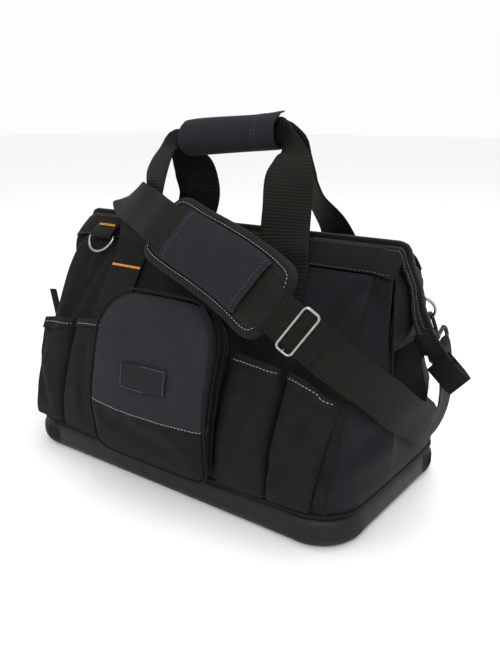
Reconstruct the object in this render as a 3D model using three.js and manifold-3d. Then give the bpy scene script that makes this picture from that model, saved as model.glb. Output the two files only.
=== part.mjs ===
// A gate-mouth tool bag with a moulded base, standing on its tray.
// Millimetres, +X along the length, -Y the front, +Z up, origin at the middle of the underside.
import * as THREE from 'three';
import { mergeVertices } from 'three/addons/utils/BufferGeometryUtils.js';
import Module from 'manifold-3d';

// Tray and binding
const baseLength = 457;
const baseWidth = 254;
const baseCorner = 47;
const trayHeight = 34;
const trayWall = 3;
const trayFoot = 9;
const bindingHeight = 4.5;
const bindingDepth = 3.2;

// Cloth body and mouth
const shellHeight = 257;
const mouthRise = 24;
const mouthLength = 442;
const mouthSlot = 25;
const cloth = 2;
const clearance = 0.4;
const endBandFoot = 183;
const pipingRadius = 1.5;

// Zip, its free ends and its slider
const coilWidth = 7.2;
const coilHeight = 2.4;
const tapeWidth = 12;
const tapeThick = 1.2;
const tailOut = 56;
const tailDrop = 174;
const tailDepth = 20;
const tabSize = 26;
const tabLength = 33;
const tabThick = 11.4;
const sliderLength = 13;

// Handles and grip
const webWidth = 50;
const webThick = 2;
const legSpread = 224;
const legFoot = 60;
const gripLength = 130;
const gripShift = 10;
const gripRise = 9;
const gripHeight = 381;
const gripBore = 13.2;
const gripCloth = 3;
const foldedWeb = 24.5;

// Centre pocket
const pocketWidth = 163;
const pocketFoot = 38;
const pocketTop = 221;
const pocketRoot = 197;
const pocketCrown = 7;
const pocketZipWidth = 9;
const labelWidth = 64;
const labelHeight = 27;
const labelThick = 1;

// Sleeve pockets
const sleeveFoot = 40;
const sleeveTop = 169;
const sleeveDepth = 14;
const sleeveRim = 8;
const sleeveSplit = 151;

// Rings and their tabs
const frontRingRadius = 21;
const backRingRadius = 16;
const ringWire = 2;
const frontTabWidth = 37;
const backTabWidth = 25;

// Shoulder strap, pad, slider and hooks
const padLength = 226;
const padWidth = 79;
const padThick = 9;
const padSleeveLength = 138;
const sliderWire = 1.8;
const sliderSpan = 11;
const hookWire = 2.3;
const hookLoop = 13;
const eyeReach = 7;
const foldBack = 26;

const mouthHeight = shellHeight + mouthRise;
const halfLength = baseLength / 2;
const halfWidth = baseWidth / 2;
const legCentre = legSpread / 2;
const bindingTop = trayHeight + clearance + bindingHeight;

const wasm = await Module();
wasm.setup();
const bag = new THREE.Group();

const finishes = {
  tray: [0x24262a, 0.45, 0],
  navy: [0x14161d, 0.85, 0],
  black: [0x0f0f10, 0.9, 0],
  webbing: [0x141412, 0.85, 0],
  binding: [0x121211, 0.8, 0],
  zip: [0x0c0c0d, 0.55, 0],
  steel: [0xb9b7b2, 0.3, 1],
  dark: [0x2a2a2c, 0.4, 1],
};

function add(name, geometry, finish) {
  const [color, roughness, metalness] = finishes[finish];
  const mesh = new THREE.Mesh(geometry, new THREE.MeshStandardMaterial({ color, roughness, metalness }));
  mesh.name = name;
  bag.add(mesh);
}

function point(x, y, z) {
  return new THREE.Vector3(x, y, z);
}

function mix(a, b, share) {
  return a + (b - a) * share;
}

// Turns a table with named columns into rows
function table(columns, lines) {
  return lines.map((line) => Object.fromEntries(columns.map((column, i) => [column, line[i]])));
}

// The row of a table at a key between two of its rows
function between(rows, key, value) {
  let i = 0;
  while (i < rows.length - 2 && value > rows[i + 1][key]) i += 1;
  const share = THREE.MathUtils.clamp((value - rows[i][key]) / (rows[i + 1][key] - rows[i][key]), 0, 1);
  const row = {};
  for (const column of Object.keys(rows[i])) row[column] = mix(rows[i][column], rows[i + 1][column], share);
  return row;
}

// The triangles of one flat ring of points
function cap(ring) {
  const normal = point(0, 0, 0);
  ring.forEach((p, i) => {
    const q = ring[(i + 1) % ring.length];
    normal.add(point((p.y - q.y) * (p.z + q.z), (p.z - q.z) * (p.x + q.x), (p.x - q.x) * (p.y + q.y)));
  });
  normal.normalize();
  const across = point(0, 0, 0);
  ring.forEach((p) => {
    const way = p.clone().sub(ring[0]);
    if (way.lengthSq() > across.lengthSq()) across.copy(way);
  });
  across.addScaledVector(normal, -across.dot(normal)).normalize();
  const up = normal.clone().cross(across);
  const flat = ring.map((p) => new THREE.Vector2(p.dot(across), p.dot(up)));
  return THREE.ShapeUtils.triangulateShape(flat, []);
}

// A closed body through rings of points, capped at its ends or joined round
function loft(rings, joined = false) {
  const count = rings[0].length;
  const faces = [];
  const spans = joined ? rings.length : rings.length - 1;
  for (let i = 0; i < spans; i += 1) {
    const a = i * count;
    const b = ((i + 1) % rings.length) * count;
    for (let j = 0; j < count; j += 1) {
      const k = (j + 1) % count;
      faces.push([a + j, a + k, b + k], [a + j, b + k, b + j]);
    }
  }
  if (!joined) {
    const last = (rings.length - 1) * count;
    cap(rings[0]).forEach(([i, j, k]) => faces.push([k, j, i]));
    cap(rings[rings.length - 1]).forEach(([i, j, k]) => faces.push([last + i, last + j, last + k]));
  }
  const points = rings.flat();
  let volume = 0;
  faces.forEach(([i, j, k]) => {
    volume += points[i].dot(points[j].clone().cross(points[k]));
  });
  if (volume < 0) faces.forEach((face) => face.reverse());
  const geometry = new THREE.BufferGeometry().setFromPoints(points);
  geometry.setIndex(faces.flat());
  return geometry;
}

// Joins closed geometries into one body
function join(geometries) {
  const solids = geometries.map((geometry) => {
    const bare = geometry.clone();
    bare.deleteAttribute('normal');
    bare.deleteAttribute('uv');
    const merged = mergeVertices(bare, 1e-4);
    const vertProperties = new Float32Array(merged.attributes.position.array);
    const triVerts = new Uint32Array(merged.index.array);
    return new wasm.Manifold(new wasm.Mesh({ numProp: 3, vertProperties, triVerts }));
  });
  const mesh = solids.reduce((whole, solid) => whole.add(solid)).getMesh();
  const geometry = new THREE.BufferGeometry();
  geometry.setAttribute('position', new THREE.BufferAttribute(mesh.vertProperties, 3));
  geometry.setIndex(new THREE.BufferAttribute(mesh.triVerts, 1));
  return geometry;
}

function wayAlong(points, i, joined) {
  const n = points.length;
  const before = joined ? points[(i + n - 1) % n] : points[Math.max(i - 1, 0)];
  const after = joined ? points[(i + 1) % n] : points[Math.min(i + 1, n - 1)];
  return after.clone().sub(before).normalize();
}

// A round wire along points; side is a direction that stays across it
function wire(points, radius, side, sides, joined = false) {
  const rings = points.map((at, i) => {
    const along = wayAlong(points, i, joined);
    const u = side.clone().addScaledVector(along, -side.dot(along)).normalize();
    const v = along.clone().cross(u);
    return Array.from({ length: sides }, (_, k) => {
      const turn = (k + 0.5) * 2 * Math.PI / sides;
      return at.clone().addScaledVector(u, radius * Math.cos(turn)).addScaledVector(v, radius * Math.sin(turn));
    });
  });
  return loft(rings, joined);
}

// A flat band through stations; each has its place, way across, width and crown
function ribbon(stations, thick) {
  const places = stations.map((station) => station.at);
  const rings = stations.map((station, i) => {
    const along = wayAlong(places, i, false);
    const across = station.across.clone();
    across.addScaledVector(along, -across.dot(along)).normalize();
    const normal = along.clone().cross(across);
    const half = station.width / 2;
    const crown = station.crown ?? 0;
    const corners = [[-half, -1], [0, -1], [half, -1], [half, 1], [0, 1], [-half, 1]];
    return corners.map(([a, face]) => {
      const rise = face * thick / 2 + (a === 0 ? crown : 0);
      return station.at.clone().addScaledVector(across, a).addScaledVector(normal, rise);
    });
  });
  return loft(rings);
}

// Webbing folded round a bar and laid back on itself
function hairpin(bar, away, across, width, wireRadius, length) {
  const side = away.clone().cross(across).normalize();
  const open = wireRadius + clearance + webThick / 2;
  const shut = webThick / 2 + clearance / 2;
  const stations = [];
  const put = (along, lift) => {
    const at = bar.clone().addScaledVector(away, along).addScaledVector(side, lift);
    stations.push({ at, across, width });
  };
  put(length, -shut);
  put(length * 0.6, -shut);
  put(open * 0.6, -open);
  for (let turn = -60; turn <= 60; turn += 30) {
    const angle = turn * Math.PI / 180;
    put(-open * Math.cos(angle) * 1.06, open * Math.sin(angle) * 1.06);
  }
  put(open * 0.6, open);
  put(length * 0.6, shut);
  return stations;
}

// Rounded rectangle in plan, anticlockwise, with four points or more to a corner
function traySection(length, width, radius, z, steps = 6) {
  const ring = [];
  const corners = [[1, -1, -90], [1, 1, 0], [-1, 1, 90], [-1, -1, 180]];
  for (const [sx, sy, start] of corners) {
    for (let i = 0; i <= steps; i += 1) {
      const angle = (start + 90 * i / steps) * Math.PI / 180;
      const x = sx * (length / 2 - radius) + radius * Math.cos(angle);
      const y = sy * (width / 2 - radius) + radius * Math.sin(angle);
      ring.push(point(x, y, z));
    }
  }
  return ring;
}

function baseTray() {
  const section = (inset, z) =>
    traySection(baseLength - 2 * inset, baseWidth - 2 * inset, baseCorner - inset, z);
  const rings = [];
  for (const angle of [0, 30, 60, 90]) {
    const turn = angle * Math.PI / 180;
    rings.push(section(trayFoot * (1 - Math.sin(turn)) + trayWall / 2, trayFoot * (1 - Math.cos(turn))));
  }
  rings.push(section(0, trayHeight * 0.75));
  rings.push(section(0, trayHeight));
  rings.push(section(trayWall, trayHeight));
  rings.push(section(trayWall + trayWall / 2, trayFoot));
  rings.push(section(trayFoot, trayWall));
  add('base_tray', loft(rings), 'tray');
}

function baseBinding() {
  const inner = trayWall - clearance;
  const low = trayHeight + clearance;
  const section = (inset, z) =>
    traySection(baseLength - 2 * inset, baseWidth - 2 * inset, baseCorner - inset, z);
  const rings = [
    section(inner, low),
    section(inner - bindingDepth, low),
    section(inner - bindingDepth, low + bindingHeight * 0.7),
    section(inner, low + bindingHeight),
  ];
  add('base_binding', loft(rings, true), 'binding');
}

// Heights as shares of shellHeight; front, corner and foldIn as shares of halfWidth; side, fold and
// valley as shares of halfLength; round as a share of baseCorner; the last two let the left corner out
const levels = table(
  ['height', 'front', 'corner', 'side', 'fold', 'foldIn', 'valley', 'round', 'leftOut', 'leftFront'],
  [
    [0.200, 1.008, 0.965, 1.005, 1.026, 0.315, 1.030, 0.87, 0.000, 0.000],
    [0.300, 1.000, 0.930, 1.010, 1.048, 0.315, 1.040, 0.72, 0.004, 0.000],
    [0.390, 0.953, 0.875, 0.992, 1.050, 0.300, 0.985, 0.55, 0.004, 0.000],
    [0.485, 0.885, 0.808, 0.968, 1.030, 0.285, 0.912, 0.42, 0.006, 0.010],
    [0.585, 0.805, 0.730, 0.950, 1.008, 0.275, 0.855, 0.34, 0.018, 0.020],
    [0.660, 0.715, 0.625, 0.932, 1.000, 0.275, 0.825, 0.30, 0.030, 0.030],
    [0.740, 0.598, 0.535, 0.920, 0.989, 0.275, 0.818, 0.30, 0.034, 0.055],
    [0.815, 0.496, 0.449, 0.912, 0.987, 0.275, 0.823, 0.26, 0.038, 0.080],
    [0.915, 0.372, 0.347, 0.906, 0.987, 0.262, 0.838, 0.21, 0.030, 0.055],
    [1.000, 0.284, 0.276, 0.897, 0.984, 0.236, 0.858, 0.17, 0.000, 0.000],
  ],
);

// The sizes of the body at one height, in millimetres
function bodySizes(z) {
  const row = between(levels, 'height', z / shellHeight);
  return {
    front: row.front * halfWidth,
    corner: row.corner * halfWidth,
    side: row.side * halfLength,
    fold: row.fold * halfLength,
    foldIn: row.foldIn * halfWidth,
    valley: row.valley * halfLength,
    round: row.round * baseCorner,
    leftOut: row.leftOut * halfLength,
    leftFront: row.leftFront * halfWidth,
  };
}

// How far the panel stands from the middle at x
function panelDepth(size, x) {
  const left = x < 0;
  const corner = size.corner + (left ? size.leftFront : 0);
  const end = size.side - size.round + (left ? size.leftOut : 0);
  const share = Math.min(Math.abs(x) / end, 1);
  return corner + (size.front - corner) * (1 - share * share);
}

// A quarter of the outline from the panel's middle to the valley of the end
function quarter(size, left) {
  const side = size.side + (left ? size.leftOut : 0);
  const corner = size.corner + (left ? size.leftFront : 0);
  const end = side - size.round;
  const points = [0, 0.27, 0.52, 0.77, 1].map((share) => {
    const x = end * share;
    return [x, -panelDepth(size, left ? -x : x)];
  });
  for (const angle of [24, 48, 72, 90]) {
    const turn = angle * Math.PI / 180;
    points.push([end + size.round * Math.sin(turn), -(corner - size.round * (1 - Math.cos(turn)))]);
  }
  const startY = corner - size.round;
  points.push([mix(side, size.fold, 0.6), -mix(startY, size.foldIn, 0.5)]);
  points.push([size.fold - 0.4, -(size.foldIn + 3)]);
  points.push([size.fold, -size.foldIn]);
  points.push([mix(size.fold, size.valley, 0.12), -size.foldIn * 0.9]);
  points.push([mix(size.fold, size.valley, 0.6), -size.foldIn * 0.42]);
  points.push([size.valley, 0]);
  return points;
}

function outline(size) {
  const right = quarter(size, false);
  const left = quarter(size, true);
  const ring = [...right];
  ring.push(...right.slice(0, -1).reverse().map(([x, y]) => [x, -y]));
  ring.push(...left.slice(1).map(([x, y]) => [-x, -y]));
  ring.push(...left.slice(1, -1).reverse().map(([x, y]) => [-x, y]));
  return ring;
}

// The same outline moved inwards by a wall
function inset(ring, wall) {
  return ring.map(([x, y], i) => {
    const [px, py] = ring[(i + ring.length - 1) % ring.length];
    const [qx, qy] = ring[(i + 1) % ring.length];
    const before = new THREE.Vector2(py - y, x - px).normalize();
    const after = new THREE.Vector2(y - qy, qx - x).normalize();
    const lean = Math.max(1 + before.dot(after), 0.6);
    return [x + wall * (before.x + after.x) / lean, y + wall * (before.y + after.y) / lean];
  });
}

// Down in the tray the cloth follows the tray's wall
function seatSizes() {
  const inner = trayWall * 1.35;
  const side = halfLength - inner;
  const front = halfWidth - inner;
  return {
    front,
    corner: front,
    side,
    fold: side,
    foldIn: 0.3 * halfWidth,
    valley: side,
    round: baseCorner - inner,
    leftOut: 0,
    leftFront: 0,
  };
}

function bodyShell() {
  const heights = levels.map((row) => row.height * shellHeight);
  const stack = [
    { z: trayHeight - trayFoot, size: seatSizes() },
    { z: bindingTop + clearance, size: seatSizes() },
    ...heights.map((z) => ({ z, size: bodySizes(z) })),
  ];
  const outer = stack.map(({ z, size }) => outline(size).map(([x, y]) => point(x, y, z)));
  const inner = stack.map(({ z, size }) => inset(outline(size), cloth).map(([x, y]) => point(x, y, z)));
  add('body_shell', loft([...outer, ...inner.reverse()], true), 'navy');
}

// A place on the front panel (side -1) or the back panel (side 1), lifted off its surface
function panelPoint(x, z, lift, side = -1) {
  const depth = (px, pz) => panelDepth(bodySizes(pz), px);
  const step = 2;
  const slopeX = (depth(x + step, z) - depth(x - step, z)) / (2 * step);
  const slopeZ = (depth(x, z + step) - depth(x, z - step)) / (2 * step);
  const normal = point(-slopeX, side, -slopeZ);
  return point(x, side * depth(x, z), z).addScaledVector(normal.normalize(), lift);
}

// The mouth: y and z of the bands' outer face at a place along the length, as shares of the slope
// from the shell's top edge to the zip; the last rows turn down over the ends
const bandRuns = table(
  ['along', 'foot', 'midRise', 'midIn', 'topRise', 'topIn'],
  [
    [0.000, 1.00, 0.52, 0.46, 0.98, 0.96],
    [0.450, 1.00, 0.52, 0.46, 0.98, 0.96],
    [0.850, 1.00, 0.52, 0.46, 0.98, 0.96],
    [0.915, 0.99, 0.50, 0.46, 0.96, 0.96],
    [0.945, 0.98, 0.46, 0.44, 0.86, 0.90],
    [0.960, 0.96, 0.36, 0.40, 0.66, 0.78],
  ],
);

function bandSection(row, x, side) {
  const size = bodySizes(shellHeight);
  const foot = panelDepth(size, x) * row.foot;
  const low = shellHeight + clearance;
  const rise = mouthHeight - low;
  const inwards = foot - mouthSlot / 2;
  const face = [
    [foot, low],
    [foot - inwards * row.midIn, low + rise * row.midRise],
    [foot - inwards * row.topIn, low + rise * row.topRise],
  ];
  const lean = Math.atan2(rise, inwards);
  const drop = ([y, z]) => [y - cloth * Math.sin(lean), z - cloth * Math.cos(lean)];
  const backs = face.map(drop).reverse();
  backs[backs.length - 1] = [foot - cloth / Math.sin(lean), low];
  return [...face, ...backs].map(([y, z]) => point(x, side * y, z));
}

function mouthBand(name, side) {
  const places = [...bandRuns].reverse().map((row) => ({ row, x: -row.along * halfLength }));
  places.push(...bandRuns.slice(1).map((row) => ({ row, x: row.along * halfLength })));
  add(name, loft(places.map(({ row, x }) => bandSection(row, x, side))), 'webbing');
}

// The zip's path in the plane of the ridge: x from the shoulder out, z from the band's foot up
const shoulderX = mouthLength / 2;
const zipEnd = table(
  ['out', 'up', 'fold', 'flap', 'pinch'],
  [
    [-0.110, 1.000, 38, 1.00, 1.00],
    [-0.030, 0.998, 34, 1.00, 1.00],
    [0.050, 0.955, 24, 1.00, 1.00],
    [0.100, 0.870, 14, 1.00, 1.00],
    [0.180, 0.745, 10, 1.00, 1.00],
    [0.275, 0.630, 10, 1.00, 1.00],
    [0.330, 0.520, 12, 1.00, 1.00],
    [0.400, 0.380, 30, 1.00, 1.00],
    [0.530, 0.225, 62, 1.05, 1.00],
    [0.670, 0.090, 80, 1.10, 1.00],
    [0.860, -0.035, 86, 1.15, 0.75],
    [1.000, -0.105, 86, 1.15, 0.65],
  ],
);

function zipPlace(row, sign) {
  const rise = mouthHeight + clearance + tapeThick - endBandFoot;
  return point(sign * (shoulderX + row.out * tailOut), 0, endBandFoot + rise * row.up);
}

// The folding tape in section: y across, n out of the path
function tapeSection({ fold, flap, pinch }) {
  const half = coilWidth * pinch / 2;
  const angle = fold * Math.PI / 180;
  const length = tapeWidth * flap;
  const edgeY = half + length * Math.cos(angle);
  const edgeN = -length * Math.sin(angle);
  const backY = edgeY - tapeThick * Math.sin(angle);
  const backN = edgeN - tapeThick * Math.cos(angle);
  const heel = half - tapeThick * Math.tan(angle / 2);
  return [
    [-edgeY, edgeN], [-half, 0], [-half * 0.8, coilHeight], [half * 0.8, coilHeight], [half, 0],
    [edgeY, edgeN], [backY, backN], [heel, -tapeThick], [-heel, -tapeThick], [-backY, backN],
  ];
}

function mainZip() {
  const rows = [...[...zipEnd].reverse().map((row) => ({ row, sign: -1 }))];
  rows.push(...[-0.55, 0, 0.55].map((share) => ({ row: null, share })));
  rows.push(...zipEnd.map((row) => ({ row, sign: 1 })));
  const top = zipPlace(zipEnd[0], 1);
  const places = rows.map(({ row, sign, share }) =>
    (row ? zipPlace(row, sign) : point(share * top.x, 0, top.z)));
  const rings = rows.map(({ row }, i) => {
    const along = wayAlong(places, i, false);
    const out = point(-along.z, 0, along.x);
    const section = tapeSection(row ?? zipEnd[0]);
    return section.map(([y, n]) => places[i].clone().addScaledVector(out, n).setY(y));
  });
  add('main_zip', loft(rings), 'zip');
}

// The cloth strip folded inside the tape along the free end of the zip
function zipTail(name, sign) {
  const rows = [0.54, 0.62, 0.7, 0.77].map((out) => between(zipEnd, 'out', out));
  const places = rows.map((row) => zipPlace(row, sign));
  const rings = rows.map((row, i) => {
    const along = wayAlong(places, i, false);
    const out = point(-along.z, 0, along.x).multiplyScalar(sign);
    const angle = row.fold * Math.PI / 180;
    const half = coilWidth / 2 - tapeThick - clearance;
    const spread = half + tailDepth * 0.8 * Math.cos(angle) * 0.5;
    const wall = tapeThick * 0.8;
    const top = -tapeThick - clearance - coilHeight;
    const section = [
      [-spread, -tailDepth], [-half, top], [half, top], [spread, -tailDepth],
      [spread - wall, -tailDepth], [half - wall, top - wall], [wall - half, top - wall],
      [wall - spread, -tailDepth],
    ];
    return section.map(([y, n]) => places[i].clone().addScaledVector(out, n).setY(y));
  });
  add(name, loft(rings), 'binding');
}

// Webbing folded over the end of the zip, open towards it
function zipTab(name, sign) {
  const end = zipPlace(zipEnd[zipEnd.length - 1], sign);
  const before = zipPlace(zipEnd[zipEnd.length - 2], sign);
  const along = end.clone().sub(before).normalize();
  const out = point(-along.z, 0, along.x).multiplyScalar(sign);
  const wall = webThick * 0.8;
  const start = -tabLength * 0.35;
  const close = tabLength * 0.65;
  const profile = [
    [start, tabThick / 2 - wall], [start, tabThick / 2], [close * 0.5, tabThick / 2],
    [close, tabThick * 0.3], [close, -tabThick * 0.3],
    [close * 0.5, -tabThick / 2], [start, -tabThick / 2], [start, wall - tabThick / 2],
    [clearance * 2, wall - tabThick / 2], [clearance * 2, tabThick / 2 - wall],
  ];
  const ring = (n) => profile.map(([a, y]) =>
    end.clone().addScaledVector(along, a).addScaledVector(out, n).setY(y));
  const high = coilHeight + clearance * 2;
  add(name, loft([ring(high - tabSize), ring(high)]), 'webbing');
}

function zipSlider() {
  const place = zipPlace(zipEnd[4], -1);
  const next = zipPlace(zipEnd[5], -1);
  const along = next.clone().sub(place).normalize();
  const out = point(along.z, 0, -along.x);
  const block = (a, b, low, high, half) => {
    const ring = (s) => [[-half, low], [half, low], [half, high], [-half, high]].map(([y, n]) =>
      place.clone().addScaledVector(along, s).addScaledVector(out, n).setY(y));
    return loft([ring(a), ring(b)]);
  };
  const lift = coilHeight + clearance;
  const body = block(0, sliderLength, lift, lift + 2, coilWidth * 0.75);
  const bridge = block(sliderLength * 0.35, sliderLength * 0.75, lift + 1.5, lift + 5, 1.6);
  const pull = block(sliderLength * 0.5, sliderLength * 2.4, lift + 3.4, lift + 5, 3.4);
  add('zip_slider', join([body, bridge, pull]), 'dark');
}

// The bands that stand on the ends: height from foot to top, edge and nose in plan
const endLevels = table(
  ['up', 'edgeX', 'edgeY', 'nose'],
  [
    [0.000, 0.998, 1.00, 1.002],
    [0.180, 0.998, 1.00, 1.022],
    [0.345, 0.998, 1.00, 1.038],
    [0.460, 0.998, 1.00, 1.036],
    [0.620, 0.998, 1.00, 1.022],
    [0.740, 0.988, 0.98, 0.990],
    [0.820, 0.980, 0.72, 0.974],
  ],
);

function endBand(name, sign) {
  const flat = coilWidth / 2 + clearance;
  const rings = endLevels.map((row) => {
    const z = mix(endBandFoot, mouthHeight, row.up);
    const nose = row.nose * halfLength;
    const edgeX = row.edgeX * halfLength;
    const edgeY = row.edgeY * bodySizes(Math.min(z, shellHeight)).foldIn;
    const face = [[edgeX, -edgeY], [nose, -flat], [nose, flat], [edgeX, edgeY]];
    const back = [...face].reverse().map(([x, y]) => [x - cloth, y * 0.97]);
    return [...face, ...back].map(([x, y]) => point(sign * x, y, z));
  });
  add(name, loft(rings), 'webbing');
}

function foldPiping(name, signX, signY) {
  const points = [0.62, 0.68, 0.745, 0.83, 0.93, 0.985].map((share) => {
    const size = bodySizes(share * shellHeight);
    const x = Math.max(size.fold, 0.998 * halfLength) + pipingRadius + clearance;
    return point(signX * x, signY * (size.foldIn + pipingRadius * 0.5), share * shellHeight);
  });
  add(name, wire(points, pipingRadius, point(1, 0, 0), 6), 'binding');
}

// The face of the centre pocket: how far it stands out at each height
const faceDepths = table(
  ['up', 'out'],
  [
    [0.00, 1.095], [0.16, 1.150], [0.33, 1.170], [0.60, 1.118], [0.80, 1.016], [0.91, 0.940], [1.00, 0.866],
  ],
);

function facePoint(x, z, lift) {
  const up = (z - pocketFoot) / (pocketTop - pocketFoot);
  const out = between(faceDepths, 'up', THREE.MathUtils.clamp(up, 0, 1)).out * halfWidth;
  const reach = Math.min(Math.max(Math.abs(2 * x) / pocketWidth, Math.abs(2 * up - 1)), 1);
  return point(x, -(out + pocketCrown * (1 - reach * reach) + lift), z);
}

// The pocket's outline as x and z, anticlockwise from its lower right corner
function pocketOutline(shrink, halfX, low, high) {
  const half = halfX - shrink;
  const foot = low + shrink;
  const head = high - shrink;
  const footRadius = 0.2 * halfX - shrink;
  const headRadius = 0.56 * halfX - shrink;
  const ring = [];
  const arc = (cx, cz, radius, start, steps) => {
    for (let i = 0; i <= steps; i += 1) {
      const turn = (start + 90 * i / steps) * Math.PI / 180;
      ring.push([cx + radius * Math.cos(turn), cz + radius * Math.sin(turn)]);
    }
  };
  const rises = [0.22, 0.36, 0.5];
  arc(half - footRadius, foot + footRadius, footRadius, -90, 3);
  rises.forEach((rise) => ring.push([half, mix(foot, head, rise)]));
  arc(half - headRadius, head - headRadius, headRadius, 0, 6);
  ring.push([0, head]);
  arc(headRadius - half, head - headRadius, headRadius, 90, 6);
  rises.reverse().forEach((rise) => ring.push([-half, mix(foot, head, rise)]));
  arc(footRadius - half, foot + footRadius, footRadius, 180, 3);
  ring.push([0, foot]);
  return ring;
}

// The pocket's side: share 0 lies on the panel and share 1 at the face's edge
function pocketSide(share, shrink, swell) {
  const root = pocketOutline(shrink, pocketWidth / 2 - 3.5, pocketFoot + 5, pocketRoot);
  const face = pocketOutline(shrink, pocketWidth / 2, pocketFoot, pocketTop);
  return root.map(([rx, rz], i) => {
    const [fx, fz] = face[i];
    const low = panelPoint(rx, rz, clearance * 1.5);
    const high = facePoint(fx, fz, -shrink);
    const at = low.lerp(high, share);
    const middle = (pocketFoot + pocketTop) / 2;
    const wayX = fx / (pocketWidth / 2);
    const wayZ = (fz - middle) / (pocketTop - middle);
    const length = Math.hypot(wayX, wayZ);
    return at.add(point(swell * wayX / length, 0, swell * wayZ / length));
  });
}

function pocketFace(scale, shrink) {
  const middle = (pocketFoot + pocketTop) / 2;
  return pocketOutline(shrink, pocketWidth / 2, pocketFoot, pocketTop).map(([x, z]) =>
    facePoint(x * scale, middle + (z - middle) * scale, -shrink));
}

function centrePocket() {
  const outer = [pocketSide(0, 0, 0), pocketSide(0.5, 0, 1.5), pocketFace(1, 0)];
  const inner = [pocketSide(0, cloth, 0), pocketSide(0.5, cloth, 1.5), pocketFace(1, cloth)];
  const scales = [0.93, 0.7, 0.35];
  const face = scales.map((scale) => pocketFace(scale, 0));
  const lining = scales.map((scale) => pocketFace(scale, cloth));
  const rings = [...face.reverse(), ...outer.reverse(), ...inner, ...lining];
  add('centre_pocket', loft(rings), 'navy');

  const bead = pocketOutline(-pipingRadius - clearance * 2, pocketWidth / 2, pocketFoot, pocketTop);
  const beadPoints = bead.map(([x, z]) => facePoint(x, z, -pipingRadius * 0.6));
  add('pocket_piping', wire(beadPoints, pipingRadius, point(0, 1, 0), 6, true), 'binding');

  const lift = 1.5 + clearance + tapeThick;
  const low = pocketSide(0.42, 0, lift);
  const high = pocketSide(0.72, 0, lift);
  const turns = low.length - 5;
  const stations = [];
  for (let i = 3; i < turns + 2; i += 1) {
    const at = low[i].clone().lerp(high[i], 0.5);
    const across = high[i].clone().sub(low[i]);
    const width = Math.min(pocketZipWidth, across.length() * 1.2);
    stations.push({ at, across, width, crown: 0.6 });
  }
  add('pocket_zip', ribbon(stations, tapeThick), 'zip');
}

function labelPatch() {
  const middle = mix(pocketFoot, pocketTop, 0.56);
  const lean = 0.05;
  const rings = [-1, -0.5, 0, 0.5, 1].map((share) => {
    const x = share * labelWidth / 2 + 5;
    const shift = middle + share * labelWidth / 2 * lean;
    const heights = [-0.5, 0, 0.5].map((part) => shift + part * labelHeight);
    const near = heights.map((z) => facePoint(x, z, clearance + 0.6));
    const far = heights.map((z) => facePoint(x, z, clearance + 0.6 + labelThick));
    return [...near, ...far.reverse()];
  });
  add('label_patch', loft(rings), 'binding');
}

// A small folded flag sewn into the left front seam
function sideLabel() {
  const size = bodySizes(shellHeight * 0.68);
  const side = -(size.side + size.leftOut);
  const front = -(size.corner + size.leftFront - size.round * 0.5);
  const low = shellHeight * 0.6;
  const high = shellHeight * 0.74;
  const stations = [low, mix(low, high, 0.5), high].map((z, i) => ({
    at: point(side - 8 + i, front + 1.6 - i * 3, z),
    across: point(1, 0.35, 0),
    width: 9,
  }));
  add('side_label', ribbon(stations, webThick), 'binding');
}

// The sleeve pockets: how far the cloth stands off across its width and up its height
const sleeveBulge = table(
  ['at', 'share'],
  [[0, 0], [0.03, 0.5], [0.1, 0.84], [0.3, 1], [0.5, 1.04], [0.7, 1], [0.9, 0.84], [0.97, 0.5], [1, 0]],
);
const sleeveSwell = table(
  ['at', 'share'],
  [[0, 0.15], [0.09, 0.4], [0.29, 0.7], [0.48, 0.85], [0.67, 0.95], [0.92, 1], [1, 1]],
);

function sleevePoint(pocket, u, v, lift) {
  const x = sleeveSplit * mix(mix(pocket.footFrom, pocket.footTo, u), mix(pocket.from, pocket.to, u), v);
  const top = sleeveTop * mix(pocket.topFrom, pocket.topTo, u) - clearance * 4;
  const stand = between(sleeveBulge, 'at', u).share * between(sleeveSwell, 'at', v).share * sleeveDepth;
  return panelPoint(x, mix(sleeveFoot, top, v), clearance * 3 + stand + lift);
}

function sleevePocket(pocket) {
  const rings = sleeveBulge.map(({ at: u }) => {
    const outer = sleeveSwell.map(({ at: v }) => sleevePoint(pocket, u, v, cloth));
    const inner = sleeveSwell.map(({ at: v }) => sleevePoint(pocket, u, v, 0));
    return [...outer, ...inner.reverse()];
  });
  add(`${pocket.name}`, loft(rings), 'black');

  const near = clearance * 1.4;
  const wrap = near + 1;
  const profile = [
    [cloth + near, -sleeveRim], [cloth + wrap, -sleeveRim], [cloth + wrap, wrap], [-wrap, wrap],
    [-wrap, -sleeveRim], [-near, -sleeveRim], [-near, near], [cloth + near, near],
  ];
  const rim = [0.04, 0.1, 0.3, 0.5, 0.7, 0.9, 0.96].map((u) => {
    const height = sleeveTop * mix(pocket.topFrom, pocket.topTo, u) - sleeveFoot;
    return profile.map(([lift, rise]) => sleevePoint(pocket, u, 1 + rise / height, lift));
  });
  add(`${pocket.name}_binding`, loft(rim), 'binding');
}

// Each sleeve runs from its end by the centre pocket to its outer end, as shares of sleeveSplit;
// its top edge is given as shares of sleeveTop
const sleeves = table(
  ['name', 'from', 'to', 'footFrom', 'footTo', 'topFrom', 'topTo'],
  [
    ['sleeve_right_inner', 0.560, 0.995, 0.560, 0.956, 0.994, 0.953],
    ['sleeve_right_outer', 1.005, 1.391, 0.965, 1.285, 0.964, 0.858],
    ['sleeve_left_inner', -0.560, -1.000, -0.560, -1.028, 1.000, 0.959],
    ['sleeve_left_outer', -1.009, -1.391, -1.038, -1.391, 0.953, 0.911],
  ],
);

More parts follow.
